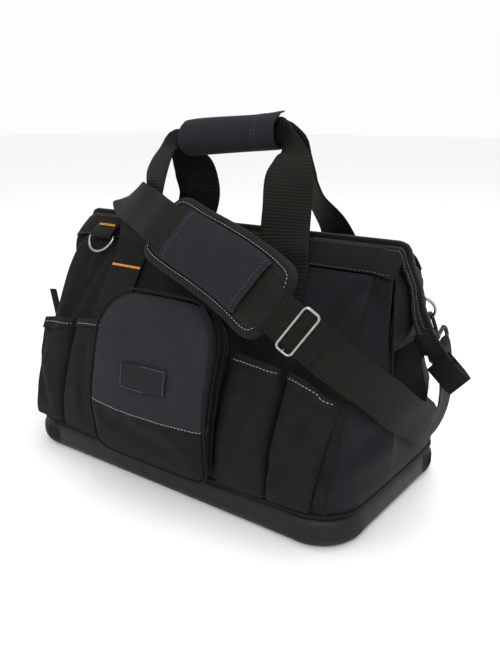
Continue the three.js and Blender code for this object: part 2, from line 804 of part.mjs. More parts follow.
// The free part of each leg, from the band's foot (0) to the grip (1): x as a share of legCentre,
// y as a share of the shell's half depth at its top edge, the turn outwards in degrees, the width
const legColumns = ['rise', 'out', 'off', 'turn', 'width'];
const rightFrontLeg = table(legColumns, [
  [0.02, 1.000, 1.18, 2, 1], [0.12, 0.985, 1.22, 12, 1], [0.26, 0.950, 1.10, 30, 1],
  [0.47, 0.935, 0.94, 37, 1], [0.675, 0.920, 0.78, 37, 1], [0.79, 0.905, 0.58, 33, 0.84],
  [0.88, 0.860, 0.36, 22, 0.64], [0.955, 0.790, 0.18, 8, 0.5],
]);
const leftFrontLeg = table(legColumns, [
  [0.02, 0.990, 1.18, 2, 1], [0.12, 0.950, 1.26, 8, 1], [0.26, 0.870, 1.18, 15, 1],
  [0.47, 0.725, 0.97, 24, 1], [0.675, 0.705, 0.84, 20, 1], [0.79, 0.695, 0.64, 20, 0.9],
  [0.88, 0.670, 0.42, 18, 0.72], [0.955, 0.620, 0.20, 8, 0.5],
]);
const rightBackLeg = table(legColumns, [
  [0.02, 1.010, 1.20, 0, 1], [0.12, 1.080, 1.30, 2, 1], [0.26, 1.040, 1.16, 16, 1],
  [0.47, 0.880, 0.98, 32, 1], [0.675, 0.815, 0.80, 40, 1], [0.79, 0.815, 0.56, 35, 0.84],
  [0.88, 0.815, 0.34, 22, 0.64], [0.955, 0.800, 0.18, 8, 0.5],
]);
const leftBackLeg = table(legColumns, [
  [0.02, 0.990, 1.20, 2, 1], [0.12, 0.900, 1.32, 10, 1], [0.26, 0.770, 1.24, 24, 1],
  [0.47, 0.640, 1.02, 37, 1], [0.675, 0.650, 0.82, 37, 1], [0.79, 0.670, 0.58, 33, 0.84],
  [0.88, 0.680, 0.36, 22, 0.64], [0.955, 0.640, 0.18, 8, 0.5],
]);

function leg(rows, signX, side) {
  const stations = [];
  const sewn = levels.map((row) => row.height * shellHeight).filter((z) => z > legFoot && z < shellHeight * 0.93);
  for (const z of [legFoot, ...sewn, shellHeight * 0.93]) {
    const lift = clearance + 0.4 + webThick / 2;
    const x = signX * legCentre;
    const low = panelPoint(x - signX * webWidth / 2, z, lift, side);
    const high = panelPoint(x + signX * webWidth / 2, z, lift, side);
    const across = high.clone().sub(low);
    stations.push({ at: low.lerp(high, 0.5), across, width: webWidth });
  }
  const depth = bodySizes(shellHeight).front;
  for (const row of rows) {
    const z = mix(shellHeight * 0.98, gripHeight, row.rise);
    const turn = row.turn * Math.PI / 180;
    stations.push({
      at: point(signX * row.out * legCentre, side * row.off * depth, z),
      across: point(signX * Math.cos(turn), -side * Math.sin(turn), 0),
      width: webWidth * row.width,
    });
  }
  return stations;
}

function handle(name, rightRows, leftRows, side) {
  const right = leg(rightRows, 1, side);
  const left = leg(leftRows, -1, side).reverse();
  const inGrip = [0.52, 0.2, -0.2, -0.52].map((share) => ({
    at: point(gripShift + share * gripLength, side * (webThick + clearance), gripHeight + gripRise * share),
    width: foldedWeb,
  }));
  const stations = [...right, ...inGrip, ...left];
  const places = stations.map((station) => station.at);
  stations.forEach((station, i) => {
    if (station.across) return;
    station.across = wayAlong(places, i, false).cross(point(0, 1, 0));
  });
  const last = right[right.length - 1];
  last.across = point(1, 0, 1);
  left[0].across = point(-1, 0, 1).negate();
  let previous = stations[0].across;
  for (const station of stations) {
    if (station.across.dot(previous) < 0) station.across.negate();
    previous = station.across;
  }
  add(name, ribbon(stations, webThick), 'webbing');
}

// A sheet wrapped once round the webbing, with its flap lapped over
function handleGrip() {
  const wraps = 1.12;
  const start = 74;
  const steps = 26;
  const pitch = gripCloth + clearance;
  const section = (share, lift) => {
    const ring = [];
    const x = gripShift + share * gripLength;
    const put = (turn, radius) => {
      const angle = (start + turn * 360) * Math.PI / 180;
      ring.push(point(x, -radius * Math.cos(angle), gripHeight + gripRise * share + radius * Math.sin(angle)));
    };
    for (let i = 0; i <= steps; i += 1) {
      const turn = wraps * i / steps;
      put(turn, gripBore + gripCloth + pitch * turn + lift * Math.max(0, turn - 1) / (wraps - 1));
    }
    for (let i = steps; i >= 0; i -= 1) {
      const turn = wraps * i / steps;
      put(turn, gripBore + pitch * turn + lift * Math.max(0, turn - 1) / (wraps - 1));
    }
    return ring;
  };
  const rings = [section(-0.5, 0), section(-0.15, 0), section(0.3, 0), section(0.5, 6)];
  add('handle_grip', loft(rings), 'navy');
}

// A half-round ring: a straight bar and its arc
function ringPoints(bar, barWay, arcWay, radius) {
  const points = [];
  for (let i = 0; i <= 12; i += 1) {
    const turn = Math.PI * i / 12;
    points.push(bar.clone().addScaledVector(barWay, radius * Math.cos(turn))
      .addScaledVector(arcWay, radius * Math.sin(turn)));
  }
  const corner = ringWire * 1.2;
  for (const share of [-1, 1]) {
    points.push(bar.clone().addScaledVector(barWay, share * (radius - corner)).addScaledVector(arcWay, -corner * 0.5));
  }
  return points;
}

function addRing(name, tabName, spec) {
  const { bar, barWay, arcWay, tabWay, radius, tabWidth, tabLength } = spec;
  const side = barWay.clone().cross(arcWay);
  add(name, wire(ringPoints(bar, barWay, arcWay, radius), ringWire, side, 6, true), 'steel');
  const pin = bar.clone().addScaledVector(arcWay, -ringWire * 0.6);
  add(tabName, ribbon(hairpin(pin, tabWay, barWay, tabWidth, ringWire, tabLength), webThick), 'webbing');
}

const frontRing = (() => {
  const lift = 2 * ringWire + webThick * 0.75;
  const bar = panelPoint(-1.49 * legCentre, shellHeight, lift);
  const down = panelPoint(-1.49 * legCentre, shellHeight - frontRingRadius, lift);
  const slope = Math.atan2(mouthHeight - shellHeight, bodySizes(shellHeight).front - mouthSlot / 2);
  return {
    bar,
    barWay: point(1, 0, 0),
    arcWay: down.sub(bar).setX(0).normalize(),
    tabWay: point(0, Math.cos(slope) * 1.04, Math.sin(slope)).normalize(),
    radius: frontRingRadius,
    tabWidth: frontTabWidth,
    tabLength: 20,
  };
})();

// The back rings that carry the strap: the right one points out, the left one up along the strap
function backRing(sign) {
  const z = shellHeight * (sign > 0 ? 0.81 : 0.80);
  const size = bodySizes(z);
  if (sign > 0) {
    return {
      bar: point(size.side + 11, size.corner - size.round + 3.4, z),
      barWay: point(0, -0.48, 0.877).normalize(),
      arcWay: point(0.98, 0.175, 0.096).normalize(),
      tabWay: point(-0.80, 0.53, 0.29).normalize(),
    };
  }
  const x = -0.86 * halfLength;
  const arcWay = point(0.47, -0.34, 0.81).normalize();
  const bar = panelPoint(x, z, hookLoop * 0.48 + hookWire + webThick, 1);
  const normal = panelPoint(x, z, 1, 1).sub(panelPoint(x, z, 0, 1));
  const tabWay = arcWay.clone().negate().addScaledVector(normal, -0.5).normalize();
  return { bar, barWay: arcWay.clone().cross(normal).normalize(), arcWay, tabWay };
}

const backRings = [backRing(-1), backRing(1)].map((spec) => ({
  ...spec,
  radius: backRingRadius,
  tabWidth: backTabWidth,
  tabLength: 17,
}));

// Where each snap hook hangs, which way the strap leaves it, and the way across the strap
const hookSpecs = [
  { ring: backRings[0], away: backRings[0].arcWay.clone(), across: backRings[0].barWay.clone() },
  { ring: backRings[1], away: point(0.24, 0.34, -1).normalize(), across: point(-0.1, 1, 0.3) },
];
for (const spec of hookSpecs) {
  const { ring } = spec;
  const reach = backRingRadius - ringWire - hookWire - clearance;
  const hang = ring.barWay.clone().multiplyScalar(spec.away.dot(ring.barWay));
  hang.addScaledVector(ring.arcWay, spec.away.dot(ring.arcWay) + 0.9).normalize();
  spec.across.addScaledVector(spec.away, -spec.across.dot(spec.away)).normalize();
  spec.loopStart = ring.bar.clone().addScaledVector(hang, reach);
  spec.swivel = spec.loopStart.clone().addScaledVector(spec.away, 2 * hookLoop);
  spec.eye = spec.swivel.clone().addScaledVector(spec.away, eyeReach + 2 * hookWire);
  spec.pin = spec.eye.clone().addScaledVector(spec.away, eyeReach);
}
const rightPin = hookSpecs[1].pin;
const pinShare = 0.573;

function strapHook(name, spec) {
  const { ring, away, across, loopStart, swivel, eye } = spec;
  const flat = away.clone().cross(across).normalize();
  const wide = ring.barWay.clone().cross(ring.arcWay);
  wide.addScaledVector(away, -wide.dot(away)).normalize();
  const loopMiddle = loopStart.clone().addScaledVector(away, hookLoop);
  const radius = hookLoop * 0.48;
  const loop = [];
  for (let i = 0; i < 14; i += 1) {
    const turn = Math.PI * (i % 7) / 6;
    const end = i < 7 ? 1 : -1;
    loop.push(loopMiddle.clone().addScaledVector(wide, end * radius * Math.cos(turn))
      .addScaledVector(away, end * (hookLoop - radius + radius * Math.sin(turn))));
  }
  const half = webWidth / 2 + hookWire + 1;
  const corner = hookWire * 1.5;
  const corners = [
    [half, corner - eyeReach], [half, eyeReach - corner], [half - corner, eyeReach],
    [corner - half, eyeReach], [-half, eyeReach - corner], [-half, corner - eyeReach],
    [corner - half, -eyeReach], [half - corner, -eyeReach],
  ];
  const eyePoints = corners.map(([u, v]) => eye.clone().addScaledVector(across, u).addScaledVector(away, v));
  const barrelEnds = [swivel.clone().addScaledVector(away, -hookWire * 1.4), eye.clone().addScaledVector(away, -eyeReach)];
  const pieces = [
    wire(loop, hookWire, across, 6, true),
    wire(eyePoints, hookWire, flat, 6, true),
    wire(barrelEnds, hookWire * 1.9, across, 8),
  ];
  add(name, join(pieces), 'dark');
}

// The strap from the left hook over the mouth, round the left front leg, under the pad's sleeve,
// through the slider and round the right end. Places are shares of halfLength, halfWidth and
// mouthHeight; the way across is a direction; lift moves it off the pad; hang is how far a place
// follows the height of the right hook
const strapColumns = ['x', 'y', 'z', 'ax', 'ay', 'az'];
const strapLeft = table(strapColumns, [
  [-0.690, 0.240, 1.005, 0.93, 0.35, 0.05],
  [-0.660, 0.110, 1.050, 0.96, 0.26, 0.10],
  [-0.630, -0.020, 1.078, 0.94, 0.24, 0.22],
  [-0.590, -0.140, 1.098, 0.90, 0.16, 0.38],
  [-0.540, -0.255, 1.103, 0.82, 0.08, 0.54],
  [-0.465, -0.370, 1.097, 0.70, 0.20, 0.68],
  [-0.380, -0.450, 1.090, 0.55, 0.35, 0.76],
  [-0.270, -0.530, 1.074, 0.45, 0.45, 0.77],
]);
const padRun = table(strapColumns, [
  [-0.145, -0.595, 1.040, 0.42, 0.50, 0.76],
  [0.060, -0.690, 0.990, 0.42, 0.50, 0.76],
  [0.280, -0.790, 0.948, 0.42, 0.50, 0.76],
  [0.500, -0.905, 0.898, 0.43, 0.46, 0.78],
  [0.720, -1.050, 0.830, 0.46, 0.34, 0.82],
]);
const strapRight = table([...strapColumns, 'hang'], [
  [0.820, -1.045, 0.790, 0.47, 0.22, 0.85, 0.0],
  [0.905, -0.985, 0.722, 0.50, 0.16, 0.84, 0.0],
  [1.000, -0.860, 0.645, 0.52, 0.12, 0.83, 0.1],
  [1.065, -0.660, 0.565, 0.50, 0.08, 0.84, 0.2],
  [1.100, -0.430, 0.475, 0.44, 0.04, 0.87, 0.4],
  [1.112, -0.190, 0.410, 0.38, 0.00, 0.90, 0.6],
  [1.118, 0.040, 0.358, 0.30, 0.00, 0.90, 0.8],
  [1.116, 0.220, 0.362, 0.16, -0.30, 0.95, 1.0],
  [1.106, 0.380, 0.400, 0.05, -0.70, 0.70, 1.0],
  [1.086, 0.500, 0.458, 0.05, -0.95, 0.25, 1.0],
]);

function strapStation(row, lift = 0, along = null) {
  const drop = (row.hang ?? 0) * (rightPin.z - pinShare * mouthHeight);
  const at = point(row.x * halfLength, row.y * halfWidth, row.z * mouthHeight + drop);
  const across = point(row.ax, row.ay, row.az).normalize();
  if (along) at.addScaledVector(along.clone().cross(across).normalize(), lift);
  return { at, across, width: webWidth };
}

const padWay = (() => {
  const first = strapStation(padRun[0]).at;
  return strapStation(padRun[padRun.length - 1]).at.sub(first).normalize();
})();

// The pad's middle line, extended or trimmed to its length
function padStations(length, lift, count, profile) {
  const places = padRun.map((row) => strapStation(row));
  const curve = new THREE.CatmullRomCurve3(places.map((station) => station.at));
  const whole = curve.getLength();
  const stations = [];
  for (let i = 0; i <= count; i += 1) {
    const share = i / count;
    const t = THREE.MathUtils.clamp(0.5 + (share - 0.5) * length / whole, 0, 1);
    const at = curve.getPointAt(t);
    const row = between(padRun.map((r, k) => ({ ...r, t: k / (padRun.length - 1) })), 't', t);
    const across = point(row.ax, row.ay, row.az);
    const along = curve.getTangentAt(t);
    across.addScaledVector(along, -across.dot(along)).normalize();
    at.addScaledVector(along.clone().cross(across).negate(), -lift);
    stations.push({ at, across, along, share, ...profile(share) });
  }
  return stations;
}

function shoulderPad() {
  const round = padWidth * 0.42;
  const profile = (share) => {
    const end = Math.min(share, 1 - share) * padLength;
    const inside = Math.max(0, round - end) / round;
    const width = padWidth - 2 * round * (1 - Math.sqrt(Math.max(0, 1 - inside * inside)));
    return { width: Math.max(width, padWidth * 0.3) };
  };
  const stations = padStations(padLength, 0, 16, profile);
  const rings = stations.map(({ at, across, along, width }) => {
    const normal = along.clone().cross(across);
    const half = width / 2;
    const thick = padThick / 2;
    const corners = [
      [-half, 0], [-half * 0.93, -thick * 0.75], [0, -thick], [half * 0.93, -thick * 0.75],
      [half, 0], [half * 0.93, thick * 0.75], [0, thick], [-half * 0.93, thick * 0.75],
    ];
    return corners.map(([a, n]) => at.clone().addScaledVector(across, a).addScaledVector(normal, n));
  });
  add('shoulder_pad', loft(rings), 'navy');
}

function padSleeve() {
  const wall = 1.4;
  const low = padThick / 2 + clearance + 0.3;
  const high = low + webThick + 2 * clearance + wall + 0.6;
  const half = webWidth / 2 + clearance * 2;
  const profile = [
    [-half - wall * 4, low], [-half - wall * 3.4, low + wall], [-half, high], [0, high + 1], [half, high],
    [half + wall * 3.4, low + wall], [half + wall * 4, low], [half, low], [half, high - wall],
    [0, high + 1 - wall], [-half, high - wall], [-half, low],
  ];
  const rings = padStations(padSleeveLength, 0, 6, () => ({})).map(({ at, across, along }) => {
    const normal = along.clone().cross(across).negate();
    return profile.map(([a, n]) => at.clone().addScaledVector(across, a).addScaledVector(normal, -n));
  });
  add('pad_sleeve', loft(rings), 'navy');
}

const sliderPlace = (() => {
  const before = strapStation(padRun[padRun.length - 1]).at;
  const middle = strapStation(strapRight[0]);
  const after = strapStation(strapRight[1]).at;
  const along = after.clone().sub(before).normalize();
  const across = middle.across.clone().addScaledVector(along, -middle.across.dot(along)).normalize();
  return { at: middle.at, along, across, normal: along.clone().cross(across) };
})();

function strapSlider() {
  const { at, along, across, normal } = sliderPlace;
  const half = webWidth / 2 + sliderWire + clearance + 1;
  const corner = sliderWire * 2.2;
  const points = [];
  const put = (a, b) => points.push(at.clone().addScaledVector(across, a).addScaledVector(along, b));
  const arc = (sa, sb, start) => {
    for (let i = 0; i <= 3; i += 1) {
      const turn = (start + 30 * i) * Math.PI / 180;
      put(sa * (half - corner) + corner * Math.cos(turn), sb * (sliderSpan - corner) + corner * Math.sin(turn));
    }
  };
  arc(1, 1, 0);
  arc(-1, 1, 90);
  arc(-1, -1, 180);
  arc(1, -1, 270);
  const bar = [at.clone().addScaledVector(across, -half), at.clone().addScaledVector(across, half)];
  const pieces = [wire(points, sliderWire, normal, 8, true), wire(bar, sliderWire * 0.95, normal, 8)];
  add('strap_slider', join(pieces), 'steel');
}

function shoulderStrap() {
  const padLift = padThick / 2 + clearance + 0.3 + webThick / 2 + clearance;
  const stations = [];
  stations.push(...hairpin(hookSpecs[0].pin, hookSpecs[0].away, hookSpecs[0].across, webWidth, hookWire, foldBack));
  stations.push(...strapLeft.map((row) => strapStation(row)));
  stations.push(...padStations(padLength * 0.97, padLift, 8, () => ({ width: webWidth })));
  const { at, along, across, normal } = sliderPlace;
  const weave = (sliderWire + webThick / 2 + clearance) * 1.55;
  const outwards = normal.y < 0 ? 1 : -1;
  for (const [step, side] of [[-1, -1], [0, 1], [1, -1]]) {
    const place = at.clone().addScaledVector(along, step * sliderSpan)
      .addScaledVector(normal, outwards * side * weave);
    stations.push({ at: place, across, width: webWidth });
  }
  stations.push(...strapRight.slice(1).map((row) => strapStation(row)));
  const end = hairpin(rightPin, hookSpecs[1].away, hookSpecs[1].across, webWidth, hookWire, foldBack);
  stations.push(...end.reverse());
  let previous = stations[0].across;
  for (const station of stations) {
    if (station.across.dot(previous) < 0) station.across = station.across.clone().negate();
    previous = station.across;
  }
  add('shoulder_strap', ribbon(stations, webThick), 'webbing');
}

baseTray();
baseBinding();
bodyShell();
mouthBand('mouth_band_front', -1);
mouthBand('mouth_band_back', 1);
endBand('end_band_left', -1);
endBand('end_band_right', 1);
mainZip();
zipTail('zip_tail_left', -1);
zipTail('zip_tail_right', 1);
zipTab('zip_tab_left', -1);
zipTab('zip_tab_right', 1);
zipSlider();
foldPiping('fold_piping_right_front', 1, -1);
foldPiping('fold_piping_right_back', 1, 1);
foldPiping('fold_piping_left_front', -1, -1);
foldPiping('fold_piping_left_back', -1, 1);
centrePocket();
labelPatch();
sideLabel();
sleeves.forEach(sleevePocket);
handle('handle_front', rightFrontLeg, leftFrontLeg, -1);
handle('handle_back', rightBackLeg, leftBackLeg, 1);
handleGrip();
addRing('front_ring', 'front_ring_tab', frontRing);
addRing('back_ring_left', 'back_ring_tab_left', backRings[0]);
addRing('back_ring_right', 'back_ring_tab_right', backRings[1]);
strapHook('strap_hook_left', hookSpecs[0]);
strapHook('strap_hook_right', hookSpecs[1]);
shoulderPad();
padSleeve();
strapSlider();
shoulderStrap();

export default bag;
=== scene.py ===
"""Dresses a gate-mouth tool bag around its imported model: cloth body, tray, handles, pockets and strap."""
import math

import bmesh
import bpy
import numpy as np
from mathutils import Matrix, Vector, noise
from mathutils.bvhtree import BVHTree


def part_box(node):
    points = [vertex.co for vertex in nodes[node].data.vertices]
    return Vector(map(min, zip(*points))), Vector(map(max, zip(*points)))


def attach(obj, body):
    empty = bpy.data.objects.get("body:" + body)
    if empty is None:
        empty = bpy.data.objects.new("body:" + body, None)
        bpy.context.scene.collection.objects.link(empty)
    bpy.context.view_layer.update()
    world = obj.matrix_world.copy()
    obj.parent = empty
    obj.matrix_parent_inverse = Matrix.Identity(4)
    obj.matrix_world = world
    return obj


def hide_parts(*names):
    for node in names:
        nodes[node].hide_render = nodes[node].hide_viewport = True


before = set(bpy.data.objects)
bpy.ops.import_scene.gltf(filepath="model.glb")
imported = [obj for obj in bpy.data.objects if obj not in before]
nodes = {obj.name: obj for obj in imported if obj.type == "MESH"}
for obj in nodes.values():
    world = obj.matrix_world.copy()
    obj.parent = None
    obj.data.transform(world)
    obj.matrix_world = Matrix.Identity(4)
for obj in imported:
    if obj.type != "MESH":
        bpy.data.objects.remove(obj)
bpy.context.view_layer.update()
MM = 0.001

# The lens and the frame of the photograph, in mm and in pixels
LENS, SENSOR = 37.9, 36
FRAME_WIDTH, FRAME_HEIGHT = 500, 660
# Where the grip's middle line runs, and half the base's length, in mm
GRIP_Y, GRIP_Z = -1, 371
HALF_BASE = 228
# Above this the grip is only its loose flap, in metres
FLAP_LEVEL = 0.395
# Where the right end of the body begins, in metres
RIGHT_END = 0.212
# Where the mouth's bands start to run on, where the fold pipings start to tuck in and where the ends'
# bands start to run on, in metres
BAND_END, TUCK_LEVEL, MEETING_LEVEL = 0.205, 0.222, 0.245
# Height of the seam across the centre pocket, in mm
POCKET_SEAM = 98.5
# Frames in which the pad's cloth settles
SETTLING = 20
# Points round the pad's folded edge
EDGE_POINTS = 160


# The camera stands where the photograph was taken from
def add_camera():
    azimuth, elevation, distance = math.radians(36.64), math.radians(16.95), 0.81355
    target = Vector((0.0328, 0.0, 0.1623))
    back = Vector((
        math.cos(elevation) * math.sin(azimuth),
        -math.cos(elevation) * math.cos(azimuth),
        math.sin(elevation),
    ))
    data = bpy.data.cameras.new("camera")
    data.lens = LENS
    data.sensor_width = SENSOR
    data.clip_start = 0.05
    camera = bpy.data.objects.new("camera", data)
    camera.location = target + back * distance
    camera.rotation_euler = back.to_track_quat("Z", "Y").to_euler()
    bpy.context.scene.collection.objects.link(camera)
    bpy.context.scene.camera = camera


add_camera()
bpy.context.scene.view_settings.view_transform = "Standard"


# Colours are written as sRGB hex and turned to the linear values that the shaders take
def colour(hexed):
    channels = [int(hexed[i:i + 2], 16) / 255 for i in (0, 2, 4)]
    linear = [c / 12.92 if c <= 0.04045 else ((c + 0.055) / 1.055) ** 2.4 for c in channels]
    return (*linear, 1.0)


# Sets a node's inputs, each from a value or from another node's output
def fill(tree, node, inputs):
    for key, value in inputs.items():
        if isinstance(value, bpy.types.NodeSocket):
            tree.links.new(value, node.inputs[key])
        else:
            node.inputs[key].default_value = value


# Adds a node with its settings and its inputs
def put(tree, kind, inputs=None, **settings):
    made = tree.nodes.new("ShaderNode" + kind)
    for key, value in settings.items():
        setattr(made, key, value)
    fill(tree, made, inputs or {})
    return made


def new_material(name):
    made = bpy.data.materials.new(name)
    made.use_nodes = True
    tree = made.node_tree
    return made, tree, tree.nodes["Principled BSDF"]


# Woven cloth: crossing threads, fibre, slow wear. across and along are the thread pitch in mm each way;
# mapped cloth reads the piece's own map, in metres. A zone gives the cloth below an edge on one axis, in
# metres, a second pair of colours, and back gives them to the back panel too
def woven(name, dark, light, across, along, depth, roughness, sheen, mapped=False, lint=0.0, zone=None,
          twill=False, back=False):
    made, tree, shader = new_material(name)
    place = put(tree, "TexCoord").outputs["Object"]
    parts = put(tree, "SeparateXYZ", {0: place})
    if mapped:
        own = put(tree, "SeparateXYZ", {0: put(tree, "UVMap", uv_map="weave").outputs["UV"]})
        side, rise = own.outputs["X"], own.outputs["Y"]
    else:
        side = put(tree, "Math", {0: parts.outputs["X"], 1: parts.outputs["Y"]}, operation="ADD").outputs[0]
        rise = parts.outputs["Z"]
    warp = put(tree, "Math", {0: side, 1: 2 * math.pi / (across * MM)}, operation="MULTIPLY")
    weft = put(tree, "Math", {0: rise, 1: 2 * math.pi / (along * MM)}, operation="MULTIPLY")
    waves = [
        put(tree, "Math", {0: turns.outputs[0]}, operation="SINE").outputs[0] for turns in (warp, weft)
    ]
    if mapped:
        threads = put(tree, "MapRange", {0: waves[1], 1: -1.0, 2: 1.0, 3: 0.0, 4: 1.0}).outputs[0]
        twist = put(tree, "MapRange", {0: waves[0], 1: -1.0, 2: 1.0, 3: 0.0, 4: 0.25}).outputs[0]
        weave = put(tree, "Math", {0: threads, 1: twist}, operation="ADD").outputs[0]
    else:
        cross = put(tree, "Math", {0: waves[0], 1: waves[1]}, operation="MULTIPLY")
        if twill:
            slant = put(tree, "Math", {0: warp.outputs[0], 1: weft.outputs[0]}, operation="ADD")
            cross = put(tree, "Math", {0: slant.outputs[0]}, operation="SINE")
        weave = put(tree, "MapRange", {0: cross.outputs[0], 1: -1.0, 2: 1.0, 3: 0.0, 4: 1.0}).outputs[0]
    fibre = put(tree, "TexNoise", {"Vector": place, "Scale": 1 / (1.1 * MM), "Detail": 2.0})
    worn = put(tree, "TexNoise", {"Vector": place, "Scale": 1 / (26 * MM), "Detail": 3.0, "Roughness": 0.6})
    height = put(tree, "Math", {0: weave, 1: fibre.outputs["Fac"]}, operation="ADD")
    shade = put(tree, "Math", {0: height.outputs[0], 1: worn.outputs["Fac"]}, operation="ADD")
    share = put(tree, "MapRange", {0: shade.outputs[0], 1: 0.7, 2: 2.3, 3: 0.0, 4: 1.0})
    tones = {0: share.outputs[0], 6: colour(dark), 7: colour(light)}
    cloth = put(tree, "Mix", tones, data_type="RGBA").outputs[2]
    if zone:
        axis, edge, zone_dark, zone_light = zone
        past = put(tree, "Math", {0: parts.outputs[axis], 1: edge}, operation="LESS_THAN")
        if back:
            behind = put(tree, "Math", {0: parts.outputs["Y"], 1: 0.0}, operation="GREATER_THAN")
            inner = put(tree, "Math", {0: parts.outputs["X"], 1: RIGHT_END}, operation="LESS_THAN")
            panel = put(tree, "Math", {0: behind.outputs[0], 1: inner.outputs[0]}, operation="MULTIPLY")
            past = put(tree, "Math", {0: past.outputs[0], 1: panel.outputs[0]}, operation="MAXIMUM")
        tones = {0: share.outputs[0], 6: colour(zone_dark), 7: colour(zone_light)}
        other = put(tree, "Mix", tones, data_type="RGBA").outputs[2]
        cloth = put(tree, "Mix", {0: past.outputs[0], 6: cloth, 7: other}, data_type="RGBA").outputs[2]
    if lint:
        speck = put(tree, "TexNoise", {"Vector": place, "Scale": 1 / (2.6 * MM), "Detail": 2.0})
        fluff = put(tree, "MapRange", {0: speck.outputs["Fac"], 1: 0.66, 2: 0.8, 3: 0.0, 4: lint})
        tones = {0: fluff.outputs[0], 6: cloth, 7: colour("77777D")}
        cloth = put(tree, "Mix", tones, data_type="RGBA").outputs[2]
    bump = put(tree, "Bump", {"Height": height.outputs[0], "Strength": 1.0, "Distance": depth * MM})
    fill(tree, shader, {
        "Base Color": cloth, "Normal": bump.outputs[0], "Roughness": roughness, "IOR": 1.5,
        "Specular IOR Level": 0.12, "Sheen Weight": sheen, "Sheen Roughness": 0.5,
        "Sheen Tint": colour("8A8C94"),
    })
    return made


# Moulded or drawn plastic with a pebble grain of the given width in mm
def moulded(name, dark, light, roughness, grain):
    made, tree, shader = new_material(name)
    place = put(tree, "TexCoord").outputs["Object"]
    pebble = put(tree, "TexVoronoi", {"Vector": place, "Scale": 1 / (grain * MM)})
    flow = put(tree, "TexNoise", {"Vector": place, "Scale": 1 / (30 * MM), "Detail": 4.0})
    tone = put(tree, "Mix", {0: flow.outputs["Fac"], 6: colour(dark), 7: colour(light)}, data_type="RGBA")
    bump = put(tree, "Bump", {"Height": pebble.outputs["Distance"], "Strength": 0.6, "Distance": 0.2 * MM})
    gloss = {0: flow.outputs["Fac"], 1: 0.3, 2: 0.7, 3: roughness - 0.06, 4: roughness + 0.08}
    rough = put(tree, "MapRange", gloss)
    fill(tree, shader, {
        "Base Color": tone.outputs[2], "Roughness": rough.outputs[0], "Normal": bump.outputs[0],
        "IOR": 1.49, "Specular IOR Level": 0.3,
    })
    return made


# Plated metal: small scratches and a slow change of gloss
def metal(name, bright, dull, roughness):
    made, tree, shader = new_material(name)
    place = put(tree, "TexCoord").outputs["Object"]
    cloud = put(tree, "TexNoise", {"Vector": place, "Scale": 1 / (6 * MM), "Detail": 4.0})
    fine = put(tree, "TexNoise", {"Vector": place, "Scale": 1 / (0.5 * MM), "Detail": 2.0})
    tone = put(tree, "Mix", {0: cloud.outputs["Fac"], 6: colour(dull), 7: colour(bright)}, data_type="RGBA")
    gloss = {0: cloud.outputs["Fac"], 1: 0.3, 2: 0.7, 3: roughness, 4: roughness + 0.15}
    rough = put(tree, "MapRange", gloss)
    bump = put(tree, "Bump", {"Height": fine.outputs["Fac"], "Strength": 0.1, "Distance": 0.01 * MM})
    fill(tree, shader, {
        "Base Color": tone.outputs[2], "Roughness": rough.outputs[0], "Normal": bump.outputs[0],
        "Metallic": 1.0,
    })
    return made


# Sewing thread, twisted from three plies
def thread(name, dark, light):
    made, tree, shader = new_material(name)
    place = put(tree, "TexCoord").outputs["Object"]
    ply = put(tree, "TexNoise", {"Vector": place, "Scale": 1 / (0.8 * MM), "Detail": 1.0})
    tone = put(tree, "Mix", {0: ply.outputs["Fac"], 6: colour(dark), 7: colour(light)}, data_type="RGBA")
    bump = put(tree, "Bump", {"Height": ply.outputs["Fac"], "Strength": 0.7, "Distance": 0.15 * MM})
    fill(tree, shader, {"Base Color": tone.outputs[2], "Normal": bump.outputs[0], "Roughness": 0.6})
    return made


# Dense woven nylon, navy on the right of the body and black on its left, with a slight sheen.
# Threads of cloth here are about 0.6 mm; they are drawn at 2 mm or more so that the weave shows
body_cloth = woven(
    "woven nylon, navy and black", "0E0E11", "1B1B20", 2.2, 2.2, 0.16, 0.74, 0.04,
    zone=("X", 0.035, "070707", "121212"), back=True,
)
# The pocket's cloth catches more light: navy above its seam and black below it
pocket_cloth = woven(
    "brushed woven nylon, navy and black", "18181C", "28282E", 2.0, 2.0, 0.14, 0.8, 0.06, lint=0.05,
    zone=("Z", POCKET_SEAM * MM, "0A0A0B", "141415"),
)
# Brushed navy nylon of the pad and grip
pad_cloth = woven("brushed navy nylon", "131317", "222227", 2.0, 2.0, 0.14, 0.8, 0.06, lint=0.05)
# Black polyester of the sleeves: coarser threads and less sheen
sleeve_cloth = woven("black twill polyester", "030303", "1F1F20", 3.4, 2.8, 0.35, 0.78, 0.02, twill=True)
# Polypropylene webbing: firm ribs across its width, olive black, with a soft plastic gloss
webbing = woven("polypropylene webbing", "050503", "14140D", 2.2, 3.3, 0.42, 0.62, 0.02, mapped=True)
# The same fibre woven flat for the bands of the mouth
band_cloth = woven("polypropylene band", "060605", "11110E", 2.4, 2.4, 0.18, 0.7, 0.02)
# The woven label's ground: close and smooth
label_cloth = woven("woven label ground", "151518", "212125", 1.3, 1.3, 0.08, 0.7, 0.05)
# Grosgrain binding tape: fine ribs, olive black and a little shiny
grosgrain = woven("grosgrain tape", "0A0A09", "171714", 1.8, 1.8, 0.16, 0.66, 0.03)
# Woven polyester zip tape
zip_tape = woven("polyester zip tape", "080808", "121213", 1.4, 1.4, 0.1, 0.7, 0.02)
# Drawn nylon coil of the zips: smooth and shiny
zip_coil = moulded("drawn nylon coil", "121213", "202021", 0.34, 0.8)
# Moulded polypropylene tray: pebble grain and a satin gloss
tray_plastic = moulded("moulded polypropylene", "060606", "0E0E0E", 0.5, 1.6)
# Nickel plate on steel wire
nickel = metal("nickel plated steel", "B9B6B2", "7C7A76", 0.24)
# Black zinc plate on the hooks and the zip slider
black_zinc = metal("black zinc plate", "3C3C3E", "232325", 0.35)
